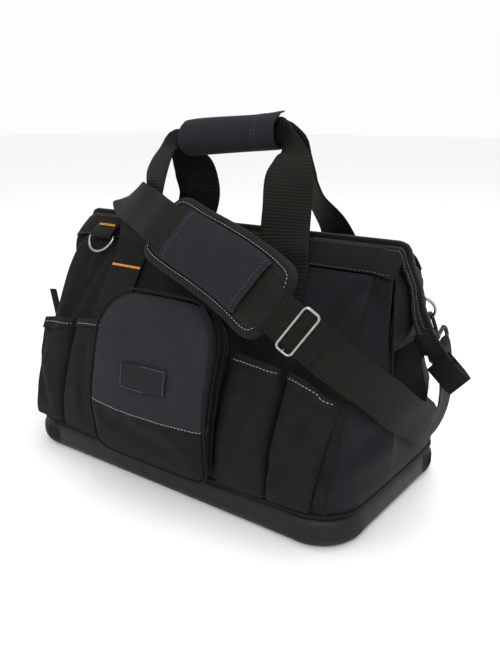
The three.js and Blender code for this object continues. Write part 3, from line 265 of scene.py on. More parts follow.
# Grey bonded nylon thread of the visible seams
pale_thread = thread("grey bonded thread", "6B6B64", "A3A39B")
# Dark thread of the quilting and label edge
dark_thread = thread("slate bonded thread", "2B2B30", "44444C")
# Orange bonded thread of the bar tacks
orange_thread = thread("orange bonded thread", "B8701C", "F0AE48")
# The same grey thread where it is worn and sunk into the zip's tape
sunk_thread = thread("sunk grey thread", "3C3C38", "77776F")


# Lays out a mesh object from vertices and faces in metres, with an optional map
def mesh_piece(name, verts, faces, material, uvs=None):
    data = bpy.data.meshes.new(name)
    data.from_pydata([tuple(v) for v in verts], [], faces)
    if uvs is not None:
        layer = data.uv_layers.new(name="weave")
        for loop in data.loops:
            layer.data[loop.index].uv = uvs[loop.vertex_index]
    data.polygons.foreach_set("use_smooth", [True] * len(data.polygons))
    data.materials.append(material)
    piece = bpy.data.objects.new(name, data)
    bpy.context.scene.collection.objects.link(piece)
    return piece


def face_outwards(piece):
    shape = bmesh.new()
    shape.from_mesh(piece.data)
    bmesh.ops.recalc_face_normals(shape, faces=shape.faces)
    shape.to_mesh(piece.data)
    shape.free()


def pick(piece):
    bpy.ops.object.select_all(action="DESELECT")
    piece.select_set(True)
    bpy.context.view_layer.objects.active = piece


def apply_all(piece):
    pick(piece)
    for modifier in list(piece.modifiers):
        bpy.ops.object.modifier_apply(modifier=modifier.name)


def subdivide(piece, levels):
    modifier = piece.modifiers.new("round", "SUBSURF")
    modifier.levels = levels
    modifier.render_levels = levels
    apply_all(piece)


# A merged copy of a node's mesh with its triangles joined to quads
def copy_of(node, name, material):
    piece = bpy.data.objects.new(name, nodes[node].data.copy())
    piece.data.name = name
    bpy.context.scene.collection.objects.link(piece)
    shape = bmesh.new()
    shape.from_mesh(piece.data)
    bmesh.ops.remove_doubles(shape, verts=shape.verts, dist=1e-5)
    bmesh.ops.join_triangles(
        shape, faces=shape.faces,
        angle_face_threshold=math.radians(60), angle_shape_threshold=math.radians(70),
    )
    shape.to_mesh(piece.data)
    shape.free()
    piece.data.materials.clear()
    piece.data.materials.append(material)
    piece.data.polygons.foreach_set("use_smooth", [True] * len(piece.data.polygons))
    return piece


def reshape(piece, rule):
    for vertex in piece.data.vertices:
        vertex.co = rule(vertex.co.copy())
    piece.data.update()


def finish(piece, slot, *replaced, body="bag"):
    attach(piece, body)
    if replaced:
        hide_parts(*replaced)
    return piece


def smooth_copy(name, node, slot, material, levels=2, rule=None, body="bag"):
    piece = copy_of(node, name, material)
    subdivide(piece, levels)
    if rule:
        reshape(piece, rule)
    return finish(piece, slot, node, body=body)


# A copy with its own flat faces kept and its edges eased, for stiff and folded pieces
def crisp_copy(name, node, slot, material, ease=0.7, rule=None, body="bag"):
    piece = copy_of(node, name, material)
    if rule:
        reshape(piece, rule)
    modifier = piece.modifiers.new("eased edges", "BEVEL")
    modifier.width = ease * MM
    modifier.segments = 3
    modifier.limit_method = "ANGLE"
    modifier.angle_limit = math.radians(35)
    apply_all(piece)
    pick(piece)
    bpy.ops.object.shade_smooth_by_angle(angle=math.radians(35))
    return finish(piece, slot, node, body=body)


# Stands a finished piece in a place whose ways are given, and applies it
def stand(piece, middle, axes):
    turn = Matrix(np.array(axes).T.tolist())
    if turn.determinant() < 0:
        turn = Matrix((np.array(axes) * [[1], [1], [-1]]).T.tolist())
    piece.matrix_world = Matrix.Translation(Vector(middle)) @ turn.to_4x4()
    pick(piece)
    bpy.ops.object.transform_apply(location=True, rotation=True, scale=True)


# Bent wire: a plate's outline with rounded corners, swept round
def wire_frame(name, width, height, corner, radius, material):
    bpy.ops.object.select_all(action="DESELECT")
    bpy.ops.mesh.primitive_plane_add(size=1)
    piece = bpy.context.object
    piece.name = name
    piece.scale = (width, height, 1)
    bpy.ops.object.transform_apply(location=True, rotation=True, scale=True)
    bpy.ops.object.mode_set(mode="EDIT")
    bpy.ops.mesh.select_all(action="SELECT")
    bpy.ops.mesh.bevel(offset=corner, offset_type="OFFSET", affect="VERTICES", segments=6)
    bpy.ops.mesh.select_all(action="SELECT")
    bpy.ops.mesh.delete(type="ONLY_FACE")
    bpy.ops.object.mode_set(mode="OBJECT")
    bpy.ops.object.convert(target="CURVE")
    piece.data.bevel_depth = radius
    piece.data.bevel_resolution = 4
    bpy.ops.object.convert(target="MESH")
    piece.data.materials.clear()
    piece.data.materials.append(material)
    bpy.ops.object.shade_smooth()
    return piece


def tree_of(*pieces):
    shape = bmesh.new()
    for piece in pieces:
        shape.from_mesh(piece.data)
    found = BVHTree.FromBMesh(shape)
    shape.free()
    return found


def ramp(value, low, high):
    share = min(max((value - low) / (high - low), 0.0), 1.0)
    return share * share * (3 - 2 * share)


# Creases in the cloth as the photograph shows them: ends in x and z, half width and depth in mm
CREASES = [
    ((-150, 250), (-186, 150), 7, 2.2),
    ((-176, 236), (-200, 120), 6, 1.8),
    ((196, 246), (150, 186), 9, 3.6),
    ((206, 240), (192, 190), 8, 2.4),
    ((228, 104), (176, 50), 10, 3.6),
    ((228, 104), (150, 74), 10, 2.6),
    ((206, 166), (226, 96), 10, 2.4),
    ((-60, 84), (40, 66), 8, 2.0),
    ((-66, 60), (-20, 92), 7, 1.6),
    ((30, 200), (66, 150), 9, 1.2),
    ((118, 150), (104, 70), 7, 1.8),
    ((182, 136), (170, 60), 7, 1.8),
    ((-120, 150), (-112, 70), 7, 1.6),
    ((-206, 110), (-180, 56), 7, 1.6),
]


def crease_depth(x, z):
    total = 0.0
    for (x0, z0), (x1, z1), width, depth in CREASES:
        dx, dz = x1 - x0, z1 - z0
        share = min(max(((x - x0) * dx + (z - z0) * dz) / (dx * dx + dz * dz), 0.0), 1.0)
        away = math.hypot(x - x0 - share * dx, z - z0 - share * dz) / width
        total += depth * (1.3 * math.exp(-away * away) - 0.5 * math.exp(-((away - 1.7) ** 2)))
    return total


# How the cloth crumples: one rule on a place in space, so that every layer sewn to the body moves with
# it. It is calm behind the centre pocket, still at the tray and the mouth, and let out a little at its hem
def crumple(place):
    x, y, z = place / MM
    free = ramp(z, 42, 85) * (1 - ramp(z, 238, 256))
    outwards = Vector((0.3 * x / HALF_BASE, 1.0 if y > 0 else -1.0, 0.12))
    outwards.normalize()
    broad = noise.noise(Vector((x / 58, y / 150, z / 46 + 3.1)))
    fine = noise.noise(Vector((x / 24 + z / 70, y / 110, z / 30 + 9.7)))
    calm = 1 - 0.62 * (1 - ramp(abs(x), 78, 96)) * (1 - ramp(z, 205, 225)) if y < 0 else 1.0
    move = (2.4 * broad + 0.9 * fine) * calm
    if abs(y) > 30:
        move -= crease_depth(x, z)
    hem = 1.6 * ramp(z, 30, 36) * (1 - ramp(z, 44, 70))
    return place + outwards * (move * free * MM) + Vector((x, y, 0)).normalized() * (hem * MM)


# The rings of points of a node that was lofted along a way, from end to end
def rings_of(node, size):
    shape = bmesh.new()
    shape.from_mesh(nodes[node].data)
    bmesh.ops.remove_doubles(shape, verts=shape.verts, dist=1e-5)
    shape.verts.ensure_lookup_table()
    seen = set()
    for start in shape.faces:
        if start in seen:
            continue
        flat, stack = {start}, [start]
        while stack:
            face = stack.pop()
            for edge in face.edges:
                for other in edge.link_faces:
                    if other not in flat and other.normal.angle(start.normal, 3.0) < 0.02:
                        flat.add(other)
                        stack.append(other)
        seen |= flat
        ring = {vert for face in flat for vert in face.verts}
        if len(ring) != size or len(flat) != size - 2:
            continue
        layers, used, current = [sorted(vert.index for vert in ring)], set(ring), ring
        while True:
            current = {e.other_vert(v) for v in current for e in v.link_edges} - used
            if not current:
                break
            used |= current
            layers.append(sorted(vert.index for vert in current))
        if all(len(layer) == size for layer in layers) and len(used) == len(shape.verts):
            found = [[shape.verts[i].co.copy() for i in layer] for layer in layers]
            shape.free()
            return found
    raise RuntimeError("no rings in " + node)


# How far along a line each of its points lies; least keeps doubled points apart
def distances(points, least=0.0):
    steps = np.linalg.norm(np.diff(np.asarray(points, float), axis=0), axis=1)
    return np.concatenate([[0], np.cumsum(np.maximum(steps, least))])


# The row of three values at a distance along a line
def row_at(s, marks, rows):
    return np.array([np.interp(s, marks, rows[:, i]) for i in range(3)])


# A line with a way across it. Places on it are metres along, across and out of its face
class Way:
    def __init__(self, centres, across, step=4.0):
        centres, across = np.array(centres, float), np.array(across, float)
        marks = distances(centres, 1e-6)
        count = max(int(marks[-1] / (step * MM)), len(centres) * 2)
        where = np.linspace(0, marks[-1], count)
        self.centres = smooth_through(marks, centres, where)
        across = smooth_through(marks, across, where)
        along = np.gradient(self.centres, axis=0)
        along /= np.linalg.norm(along, axis=1)[:, None]
        across -= along * np.sum(across * along, axis=1)[:, None]
        self.half = np.linalg.norm(across, axis=1)
        self.across = across / self.half[:, None]
        self.normal = np.cross(along, self.across)
        self.marks = distances(self.centres)
        self.length = self.marks[-1]

    def pick(self, values, s):
        values = np.asarray(values)
        if values.ndim == 1:
            return np.interp(s, self.marks, values)
        return row_at(s, self.marks, values)

    # Turns the faces' side towards a direction
    def face(self, direction):
        if np.sum(self.normal @ np.array(direction, float)) < 0:
            self.normal = -self.normal
        return self

    def at(self, s, a=0.0, n=0.0):
        return self.pick(self.centres, s) + self.pick(self.across, s) * a + self.pick(self.normal, s) * n


# Catmull-Rom values between rows at given marks
def smooth_through(marks, rows, where):
    out = []
    for w in where:
        i = int(np.clip(np.searchsorted(marks, w) - 1, 0, len(marks) - 2))
        p = [rows[max(i - 1, 0)], rows[i], rows[i + 1], rows[min(i + 2, len(rows) - 1)]]
        m = [marks[max(i - 1, 0)], marks[i], marks[i + 1], marks[min(i + 2, len(rows) - 1)]]
        gap = m[2] - m[1]
        u = (w - m[1]) / gap
        before = (p[2] - p[0]) / max(m[2] - m[0], 1e-9) * gap
        after = (p[3] - p[1]) / max(m[3] - m[1], 1e-9) * gap
        out.append(
            p[1] * (2 * u ** 3 - 3 * u ** 2 + 1) + before * (u ** 3 - 2 * u ** 2 + u)
            + p[2] * (3 * u ** 2 - 2 * u ** 3) + after * (u ** 3 - u ** 2)
        )
    return np.array(out)


# The way of a flat node: the middle of each ring and half its width across
def way_of(node, size=6, rule=None, step=4.0):
    centres, halves = [], []
    for ring in rings_of(node, size):
        points = np.array([tuple(p) for p in ring])
        middle = points.mean(axis=0)
        _, _, axes = np.linalg.svd(points - middle)
        reach = np.abs((points - middle) @ axes[0]).max()
        half = axes[0] * reach
        if halves and half @ halves[-1] < 0:
            half = -half
        centres.append(middle)
        halves.append(half)
    way = Way(centres, halves, step)
    if rule:
        way.centres = np.array([np.array(rule(Vector(centre))) for centre in way.centres])
    return way


# A closed skin through rings of points, with a map in metres: round the ring and along the rings
def skin(name, rings, material, marks=None, closed_way=False):
    rings = [np.array(ring, float) for ring in rings]
    count = len(rings[0])
    verts = [tuple(p) for ring in rings for p in ring]
    faces, uvs = [], []
    spans = len(rings) if closed_way else len(rings) - 1
    for i in range(spans):
        a, b = i * count, ((i + 1) % len(rings)) * count
        for j in range(count):
            k = (j + 1) % count
            faces.append((a + j, a + k, b + k, b + j))
    if not closed_way:
        faces.append(tuple(range(count))[::-1])
        faces.append(tuple((len(rings) - 1) * count + j for j in range(count)))
    sides = marks if marks is not None else np.arange(len(rings)) * 3 * MM
    for i, ring in enumerate(rings):
        uvs.extend((float(w), float(sides[i])) for w in distances(ring))
    piece = mesh_piece(name, verts, faces, material, uvs)
    face_outwards(piece)
    return piece


# Flat webbing with soft selvedges. Its section is given as shares of half width and half thickness
WEB_SECTION = [
    (-1.0, 0.0), (-0.985, 0.7), (-0.94, 1.0), (-0.5, 1.0),
    (0.0, 1.0), (0.5, 1.0), (0.94, 1.0), (0.985, 0.7),
    (1.0, 0.0), (0.985, -0.7), (0.94, -1.0), (0.5, -1.0),
    (0.0, -1.0), (-0.5, -1.0), (-0.94, -1.0), (-0.985, -0.7),
]


def web(name, way, thick, material, ripple=0.0):
    rings, marks = [], []
    for s, half in zip(way.marks, way.half):
        ring = []
        for a, n in WEB_SECTION:
            wave = ripple * noise.noise(Vector((s * 18, a * 0.8, 4.2))) * MM
            ring.append(way.at(s, a * half, n * thick / 2 * MM + wave))
        rings.append(ring)
        marks.append(s)
    return skin(name, rings, material, marks)


# A round cord or bead along a line of points
def tube(name, points, radius, material, closed=False, sides=8):
    points = np.array(points, float)
    along = np.roll(points, -1, axis=0) - np.roll(points, 1, axis=0)
    if not closed:
        along[0], along[-1] = points[1] - points[0], points[-1] - points[-2]
    along /= np.linalg.norm(along, axis=1)[:, None]
    side = np.cross(along[0], (0.31, 0.72, 0.62))
    rings = []
    for at, way in zip(points, along):
        side = side - way * (side @ way)
        side /= np.linalg.norm(side)
        up = np.cross(way, side)
        rings.append([
            at + radius * MM * (math.cos(t) * side + math.sin(t) * up)
            for t in np.arange(sides) * 2 * math.pi / sides
        ])
    return skin(name, rings, material, closed_way=closed)


# Rings put in order round their edge, each turned to match the one before it
def matched(rings):
    out = []
    for ring in rings:
        points = np.array([tuple(p) for p in ring])
        middle = points.mean(axis=0)
        axes = np.linalg.svd(points - middle)[2]
        turns = np.arctan2((points - middle) @ axes[1], (points - middle) @ axes[0])
        points = points[np.argsort(turns)]
        if out:
            orders = (points, points[::-1])
            choices = [np.roll(order, k, axis=0) for order in orders for k in range(len(points))]
            points = min(choices, key=lambda c: np.linalg.norm(c - out[-1], axis=1).sum())
        out.append(points)
    return out


# Rounds a ring's corners, by no more than most mm along each edge
def round_ring(ring, most):
    out = []
    for a, b in zip(ring, np.roll(ring, -1, axis=0)):
        cut = min(0.25, most * MM / max(np.linalg.norm(b - a), 1e-9))
        out.extend([a + (b - a) * cut, b - (b - a) * cut])
    return out


# Cloth lofted through a node's own rings, with softened edges and ends that stay where they are
def lofted(name, node, size, slot, material, most=0.8, times=2, rule=None, step=4.0, warp=None):
    rings = matched(rings_of(node, size))
    for turn in range(times):
        rings = [round_ring(np.array(ring), most / (turn + 1)) for ring in rings]
    rings = np.array(rings)
    marks = distances(rings.mean(axis=1), 1e-6)
    where = np.linspace(0, marks[-1], max(int(marks[-1] / (step * MM)), 2 * len(rings)))
    rows = smooth_through(marks, rings.reshape(len(rings), -1), where).reshape(len(where), -1, 3)
    for change in (rule, warp):
        if change:
            rows = [[np.array(change(Vector(p))) for p in row] for row in rows]
    return finish(skin(name, rows, material, where), slot, node)


# A row of stitches: short threads laid along a line, each dipping into the cloth at its ends
def stitches(name, lines, material, length=2.9, gap=1.3, radius=0.38, slot="binding", sink=0.25):
    verts, faces = [], []
    for points, normals in lines:
        points, normals = np.array(points, float), np.array(normals, float)
        marks = distances(points)
        s = gap * MM
        while s + length * MM < marks[-1]:
            stations = []
            for share in (0.0, 0.25, 0.75, 1.0):
                w = s + share * length * MM
                at, out = row_at(w, marks, points), row_at(w, marks, normals)
                out /= np.linalg.norm(out)
                depth = -sink * MM if share in (0.0, 1.0) else radius * MM * 0.7
                stations.append((at + out * depth, out))
            way = stations[-1][0] - stations[0][0]
            way /= np.linalg.norm(way)
            base = len(verts)
            for at, out in stations:
                side = np.cross(way, out)
                for a, n in ((-1, -0.3), (-0.5, 0.8), (0.5, 0.8), (1, -0.3), (0, -0.9)):
                    verts.append(at + radius * MM * (a * side + n * out))
            for ring in range(3):
                for j in range(5):
                    k = (j + 1) % 5
                    a, b = base + ring * 5, base + (ring + 1) * 5
                    faces.append((a + j, a + k, b + k, b + j))
            faces.append(tuple(base + j for j in range(5))[::-1])
            faces.append(tuple(base + 15 + j for j in range(5)))
            s += (length + gap) * MM
    piece = mesh_piece(name, verts, faces, material)
    face_outwards(piece)
    return finish(piece, slot)


# Points of a front view, in mm of x and z, laid onto a piece from in front of it
def lay(tree, points, lift=0.0, ahead=(0, 1, 0), start=-0.3):
    places, normals = [], []
    for x, z in points:
        hit = tree.ray_cast(Vector((x * MM, start, z * MM)), Vector(ahead))
        if hit[0] is None:
            continue
        normal = hit[1] if hit[1].y * ahead[1] < 0 else -hit[1]
        places.append(np.array(hit[0] + normal * lift * MM))
        normals.append(np.array(normal))
    return places, normals


# Places given as shares along and across a way, laid onto a piece from outside it
def laid(tree, way, places, lift=0.05, out=14):
    found, normals = [], []
    for share, a in places:
        s = share * way.length
        normal = way.pick(way.normal, s)
        start = way.at(s, a * np.interp(s, way.marks, way.half), out * MM)
        hit = tree.ray_cast(Vector(start), Vector(-normal), 2 * out * MM)
        if hit[0] is not None:
            found.append(np.array(hit[0]) + normal * lift * MM)
            normals.append(normal)
    return found, normals


# The same distance across from one share of the length to another
def run(a, first=0.0, last=1.0, count=80):
    return [(first + (last - first) * i / count, a) for i in range(count + 1)]


# The place on a piece that the camera sees at a pixel of the photograph, and the way out of it there
def seen(tree, pixel, lift=0.3):
    camera = bpy.context.scene.camera
    focal = LENS / SENSOR * FRAME_HEIGHT
    right, up = pixel[0] - FRAME_WIDTH / 2, FRAME_HEIGHT / 2 - pixel[1]
    way = camera.rotation_euler.to_matrix() @ Vector((right / focal, up / focal, -1))
    place, normal = tree.ray_cast(camera.location, way.normalized())[:2]
    if normal.dot(way) > 0:
        normal = -normal
    return place + normal * lift * MM, normal


def between(a, b, count):
    return [(a[0] + (b[0] - a[0]) * i / count, a[1] + (b[1] - a[1]) * i / count) for i in range(count + 1)]


# The tray, moulded from one plate: its corners, the bend at its foot and its wall
def make_tray():
    low, high = (Vector(corner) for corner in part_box("base_tray"))
    size, corner, foot, wall = high - low, 47 * MM, 13 * MM, 3 * MM
    bpy.ops.object.select_all(action="DESELECT")
    bpy.ops.mesh.primitive_plane_add(size=1, location=(0, 0, 0))
    tray = bpy.context.object
    tray.name = "tray"
    tray.scale = (size.x, size.y, 1)
    bpy.ops.object.transform_apply(location=True, rotation=True, scale=True)
    bpy.ops.object.mode_set(mode="EDIT")
    bpy.ops.mesh.select_all(action="SELECT")
    bpy.ops.mesh.bevel(offset=corner, offset_type="OFFSET", affect="VERTICES", segments=44)
    bpy.ops.mesh.select_all(action="SELECT")
    bpy.ops.mesh.extrude_region_move(TRANSFORM_OT_translate={"value": (0, 0, size.z)})
    bpy.ops.object.mode_set(mode="OBJECT")
    shape = bmesh.new()
    shape.from_mesh(tray.data)
    bmesh.ops.recalc_face_normals(shape, faces=shape.faces)
    for edge in shape.edges:
        edge.select = all(v.co.z < 1e-5 for v in edge.verts)
    shape.to_mesh(tray.data)
    shape.free()
    bpy.ops.object.mode_set(mode="EDIT")
    bpy.ops.mesh.select_mode(type="EDGE")
    bpy.ops.mesh.bevel(offset=foot, offset_type="OFFSET", affect="EDGES", segments=8)
    bpy.ops.mesh.select_mode(type="FACE")
    bpy.ops.mesh.select_all(action="DESELECT")
    bpy.ops.object.mode_set(mode="OBJECT")
    for face in tray.data.polygons:
        face.select = face.normal.z > 0.9 and face.center.z > size.z * 0.9
    bpy.ops.object.mode_set(mode="EDIT")
    bpy.ops.mesh.inset(thickness=wall, depth=0)
    bpy.ops.mesh.extrude_region_move(TRANSFORM_OT_translate={"value": (0, 0, -(size.z - wall))})
    bpy.ops.object.mode_set(mode="OBJECT")
    soft = tray.modifiers.new("soft edges", "BEVEL")
    soft.width = 0.7 * MM
    soft.segments = 2
    soft.limit_method = "ANGLE"
    apply_all(tray)
    pick(tray)
    bpy.ops.object.shade_smooth_by_angle(angle=math.radians(40))
    tray.data.materials.append(tray_plastic)
    return finish(tray, "tray", "base_tray")


make_tray()
smooth_copy("tray.binding", "base_binding", "binding", grosgrain, 2)

# The cloth body, on which the seams and the smaller pieces are laid
body = smooth_copy("body", "body_shell", "navy_cloth", body_cloth, 3, rule=crumple)
body_tree = tree_of(body)


# The bands of the mouth run on towards the ends
def meet_end(place):
    over = max(abs(place.x) - BAND_END, 0.0)
    return place + Vector((math.copysign(over * 0.4, place.x), 0, -over * 0.3))


# The tops of the fold pipings are tucked under the bands
def tuck(place):
    over = max(place.z - TUCK_LEVEL, 0.0)
    return place - Vector((math.copysign(over * 0.3, place.x), math.copysign(over * 0.4, place.y), 0))


# The bands of the ends run on towards the mouth
def meet_mouth(place):
    over = max(place.z - MEETING_LEVEL, 0.0)
    return place + Vector((-math.copysign(over * 0.6, place.x), -place.y * over * 28, over * 0.75))


for side in ("front", "back"):
    band = lofted("mouth.band." + side, "mouth_band_" + side, 6, "webbing", band_cloth, warp=meet_end)
    way = way_of("mouth_band_" + side, 6, rule=meet_end).face((0, -1 if side == "front" else 1, 0))
    rows = [laid(tree_of(band), way, run(a)) for a in (-0.86, 0.86)]
    stitches("mouth.stitches." + side, rows, dark_thread)
for side in ("left", "right"):
    lofted("end.band." + side, "end_band_" + side, 8, "webbing", band_cloth, warp=meet_mouth)
    smooth_copy("zip.tail." + side, "zip_tail_" + side, "binding", grosgrain, 1)
    crisp_copy("zip.tab." + side, "zip_tab_" + side, "webbing", band_cloth, 1.6)
    for face in ("front", "back"):
        lofted(f"fold.piping.{side}.{face}", f"fold_piping_{side}_{face}", 6, "binding", grosgrain,
               rule=crumple, warp=tuck)

# The main zip: its coil as short bars, and the worn thread along the ends of its tape
main_zip = lofted("main.zip", "main_zip", 10, "zip", zip_tape, 0.6)
main_way = way_of("main_zip", 10).face((0, 0, 1))
main_tree = tree_of(main_zip)
zip_tree = tree_of(main_zip, *(bpy.data.objects["zip.tail." + side] for side in ("left", "right")))
teeth = [laid(main_tree, main_way, [(share, -0.2), (share, 0.0), (share, 0.2)], 0.1)
         for share in np.arange(0.012, 0.988, 2.0 * MM / main_way.length)]
teeth = [tooth for tooth in teeth if len(tooth[0]) == 3]
stitches("main.zip.teeth", teeth, zip_coil, 3.6, 0.2, 0.75, "zip")
rows = [laid(zip_tree, main_way, run(a, first, last, 120), 0.1)
        for a in (-0.8, -0.45, 0.45, 0.8) for first, last in ((0.02, 0.33), (0.67, 0.98))]
stitches("main.zip.dots", rows, sunk_thread, 1.2, 1.6, 0.42)
crisp_copy("zip.slider", "zip_slider", "dark_metal", black_zinc, 0.6)

# Raised seams down the front corners of the body, mirrored on its left. They are made of black tape and are
# partly painted shade: their dark line also stands for the shadow along each corner crease
corner_seam_and_shade = [seen(body_tree, pixel, 0.2) for pixel in between((374, 279), (353, 364), 24)]
for name, sign in (("right", 1), ("left", -1)):
    line = [Vector((sign * at.x, at.y, at.z)) for at, out in corner_seam_and_shade]
    line = [body_tree.find_nearest(at)[0] for at in line]
    # The black tape's darkness is partly painted shade along the crease
    finish(tube("corner.seam.and.shade." + name, line, 1.2, grosgrain), "binding")

# The centre pocket with its bead, its zip between two cords of tape, its seam and its label
pocket = smooth_copy("centre.pocket", "centre_pocket", "navy_cloth", pocket_cloth, 2, rule=crumple)
pocket_tree = tree_of(pocket)
smooth_copy("pocket.bead", "pocket_piping", "binding", grosgrain, 2, rule=crumple)
zip_way = way_of("pocket_zip", rule=crumple)
finish(web("pocket.zip.tape", zip_way, 1.2, zip_tape), "zip", "pocket_zip")
for name, share, radius in (("outer", -1.18, 1.7), ("inner", 1.12, 1.2)):
    line = [zip_way.at(s, share * half, 0.0) for s, half in zip(zip_way.marks, zip_way.half)]
    finish(tube("pocket.zip." + name, line, radius, grosgrain), "binding")
# The loop of tape at the lower end of the pocket's zip
loop = [seen(pocket_tree, pixel, 1.0)[0] for pixel in between((201, 424), (200, 436), 5)]
loop = [at + Vector((0.005, 0.004, 0)) for at in loop]
finish(tube("pocket.zip.stop", loop, 2.4, webbing), "webbing")
seam = lay(pocket_tree, between((-80.5, POCKET_SEAM), (80.5, POCKET_SEAM), 60), 0.2)
stitches("pocket.seam.stitches", [seam], pale_thread)
label = crisp_copy("label", "label_patch", "binding", label_cloth, 0.5, rule=crumple)
flag = crisp_copy("side.flag", "side_label", "binding", grosgrain, 0.4, rule=crumple)
# The flag is sewn into the body's seam, so it is moved in until it just enters the smoothed cloth
steps = [(body_tree.find_nearest(v.co)[0] - v.co) for v in flag.data.vertices]
step = min(steps, key=lambda move: move.length)
reshape(flag, lambda place: place + step + step.normalized() * 0.6 * MM)
corners = [(-25, 127.4), (35, 127.4), (35, 153.6), (-25, 153.6), (-25, 127.4)]
border = [lay(tree_of(label), between(a, b, 12), 0.1) for a, b in zip(corners, corners[1:])]
stitches("label.border", border, dark_thread, 2.2, 0.35, 0.5)

# The sleeve pockets, each with its folded edge and a row of stitches below it
for side in ("right_inner", "right_outer", "left_inner", "left_outer"):
    dotted = side.replace("_", ".")
    smooth_copy("sleeve." + dotted, "sleeve_" + side, "black_cloth", sleeve_cloth, 2, rule=crumple)
    edge = f"sleeve_{side}_binding"
    binding = lofted("sleeve.binding." + dotted, edge, 8, "binding", grosgrain, 0.6, rule=crumple)
    places = np.array([tuple(v.co) for v in binding.data.vertices]) / MM
    left, right = places[:, 0].min() + 1, places[:, 0].max() - 1
    middles = np.linspace(left, right, 12)
    tops = [places[np.abs(places[:, 0] - x) < 6, 2].max() for x in middles]
    row = lay(tree_of(binding), list(zip(middles, np.array(tops) - 6.2)), 0.1)
    stitches("sleeve.stitches." + dotted, [row], pale_thread)

# Painted shade: a thin sheet of black cloth laid on the body stands for the dark, shadowed gap of the pleat
# between the outer right sleeve and the body. A real seam runs along its far edge
down, over = 22, 4
near = between((337, 404), (309, 507), down)
far = between((349, 404), (323, 522), down)
rows = []
for left, right in zip(near, far):
    rows.append([seen(body_tree, pixel, 0.5)[0] for pixel in between(left, right, over)])
verts = [tuple(at) for row in rows for at in row]
starts = [i * (over + 1) + j for i in range(down) for j in range(over)]
faces = [(k, k + 1, k + over + 2, k + over + 1) for k in starts]
# This black sheet is painted shade, not a cloth of the bag
pleat_shade_sheet = mesh_piece("sleeve.pleat.painted.shade", verts, faces, sleeve_cloth)
thick = pleat_shade_sheet.modifiers.new("thickness", "SOLIDIFY")
thick.thickness = 1.2 * MM
thick.offset = 0
apply_all(pleat_shade_sheet)
face_outwards(pleat_shade_sheet)
finish(pleat_shade_sheet, "black_cloth")
finish(tube("pleat.seam", [row[-1] for row in rows], 1.5, body_cloth), "navy_cloth")


# A bar tack: dense rows of orange thread
def bar_tack(name, rows):
    stitches(name, rows, orange_thread, 2.4, 0.15, 0.55)


# The handles, with a bar tack where each leg meets the body
for side in ("front", "back"):
    way = way_of("handle_" + side, rule=crumple)
    way.face((0, -1 if side == "front" else 1, 0.3))
    legs = finish(web("handle." + side, way, 2.0, webbing, ripple=0.5), "webbing", "handle_" + side)
    tacks = []
    for share in np.linspace(0, 1, 400):
        at = way.at(share * way.length)
        level = 0.218 if side == "front" and at[0] > 0 else 0.230
        if (tacks and share - tacks[-1] < 0.1) or abs(at[2] - level) > 0.001:
            continue
        tacks.append(share)
    rows = [laid(tree_of(legs), way, [(share + up / 1000, a) for a in np.linspace(-0.95, 0.95, 16)], 0.1)
            for share in tacks for up in (-1.0, 0.0, 1.0)]
    bar_tack("bar.tacks." + side, rows)


# The grip is fuller at its left end
def fuller(place):
    share = 1 + 0.1 * ramp(-place.x / MM, -70, 50)
    middle = Vector((place.x, GRIP_Y * MM, GRIP_Z * MM))
    return middle + (place - middle) * share


grip = smooth_copy("grip", "handle_grip", "navy_cloth", pad_cloth, 2, rule=fuller)
grip_tree = tree_of(grip)
# Two rows of stitches round the grip's right end
rings = []
for x in (47, 51.5):
    line, out = [], []
    for turn in np.radians(np.arange(-60, 245, 6)):
        way = Vector((0, -math.cos(turn), math.sin(turn)))
        hit = grip_tree.ray_cast(Vector((x * MM, GRIP_Y * MM, GRIP_Z * MM)) + way * 0.06, -way)
        if hit[0] is not None:
            line.append(np.array(hit[0]))
            out.append(np.array(way))
    rings.append((line, out))
stitches("grip.stitches", rings, dark_thread, 2.4, 1.4, 0.35)
# A plain core stands for what fills the grip. The photograph doesn't show it, so it is a guess
ends = []
for x in (-44, 64):
    nearby = np.array([tuple(v.co) for v in grip.data.vertices if abs(v.co.x / MM - x) < 8])
    wall = nearby[nearby[:, 2] < FLAP_LEVEL]
    middle = (wall.max(axis=0) + wall.min(axis=0)) / 2
    ends.append(np.array([x * MM, middle[1], middle[2]]))
core = [ends[0] + (ends[1] - ends[0]) * share for share in np.linspace(0, 1, 12)]
finish(tube("grip.core", core, 9.5, sleeve_cloth, sides=20), "black_cloth")

# Rings, hooks and their tabs
for node in ("front_ring_tab", "back_ring_tab_left", "back_ring_tab_right"):
    way = way_of(node, step=2.0)
    tab = finish(web(node.replace("_", "."), way, 2.0, webbing), "webbing", node)
    if node == "front_ring_tab":
        way.face((0, -1, 0.5))
        share = max((0.12, 0.88), key=lambda t: way.at(t * way.length)[2])
        rows = [laid(tree_of(tab), way, [(share + up, a) for a in np.linspace(-0.8, 0.8, 12)], 0.1)
                for up in (-0.02, 0.02)]
        bar_tack("ring.tab.tack", rows)
for node in ("back_ring_left", "back_ring_right"):
    smooth_copy(node.replace("_", "."), node, "steel", nickel, 2)
strap_way = way_of("shoulder_strap")
# Past the pad the strap shows a little narrower than its solid, as in the photograph
narrowing = 0.13
strap_way.half = np.array([
    half * (1 - narrowing * ramp(centre[0] / MM, 120, 165))
    for half, centre in zip(strap_way.half, strap_way.centres)
])
points = np.array([tuple(v.co) for v in nodes["strap_slider"].data.vertices])
near = strap_way.marks[np.argmin(np.linalg.norm(strap_way.centres - points.mean(axis=0), axis=1))]
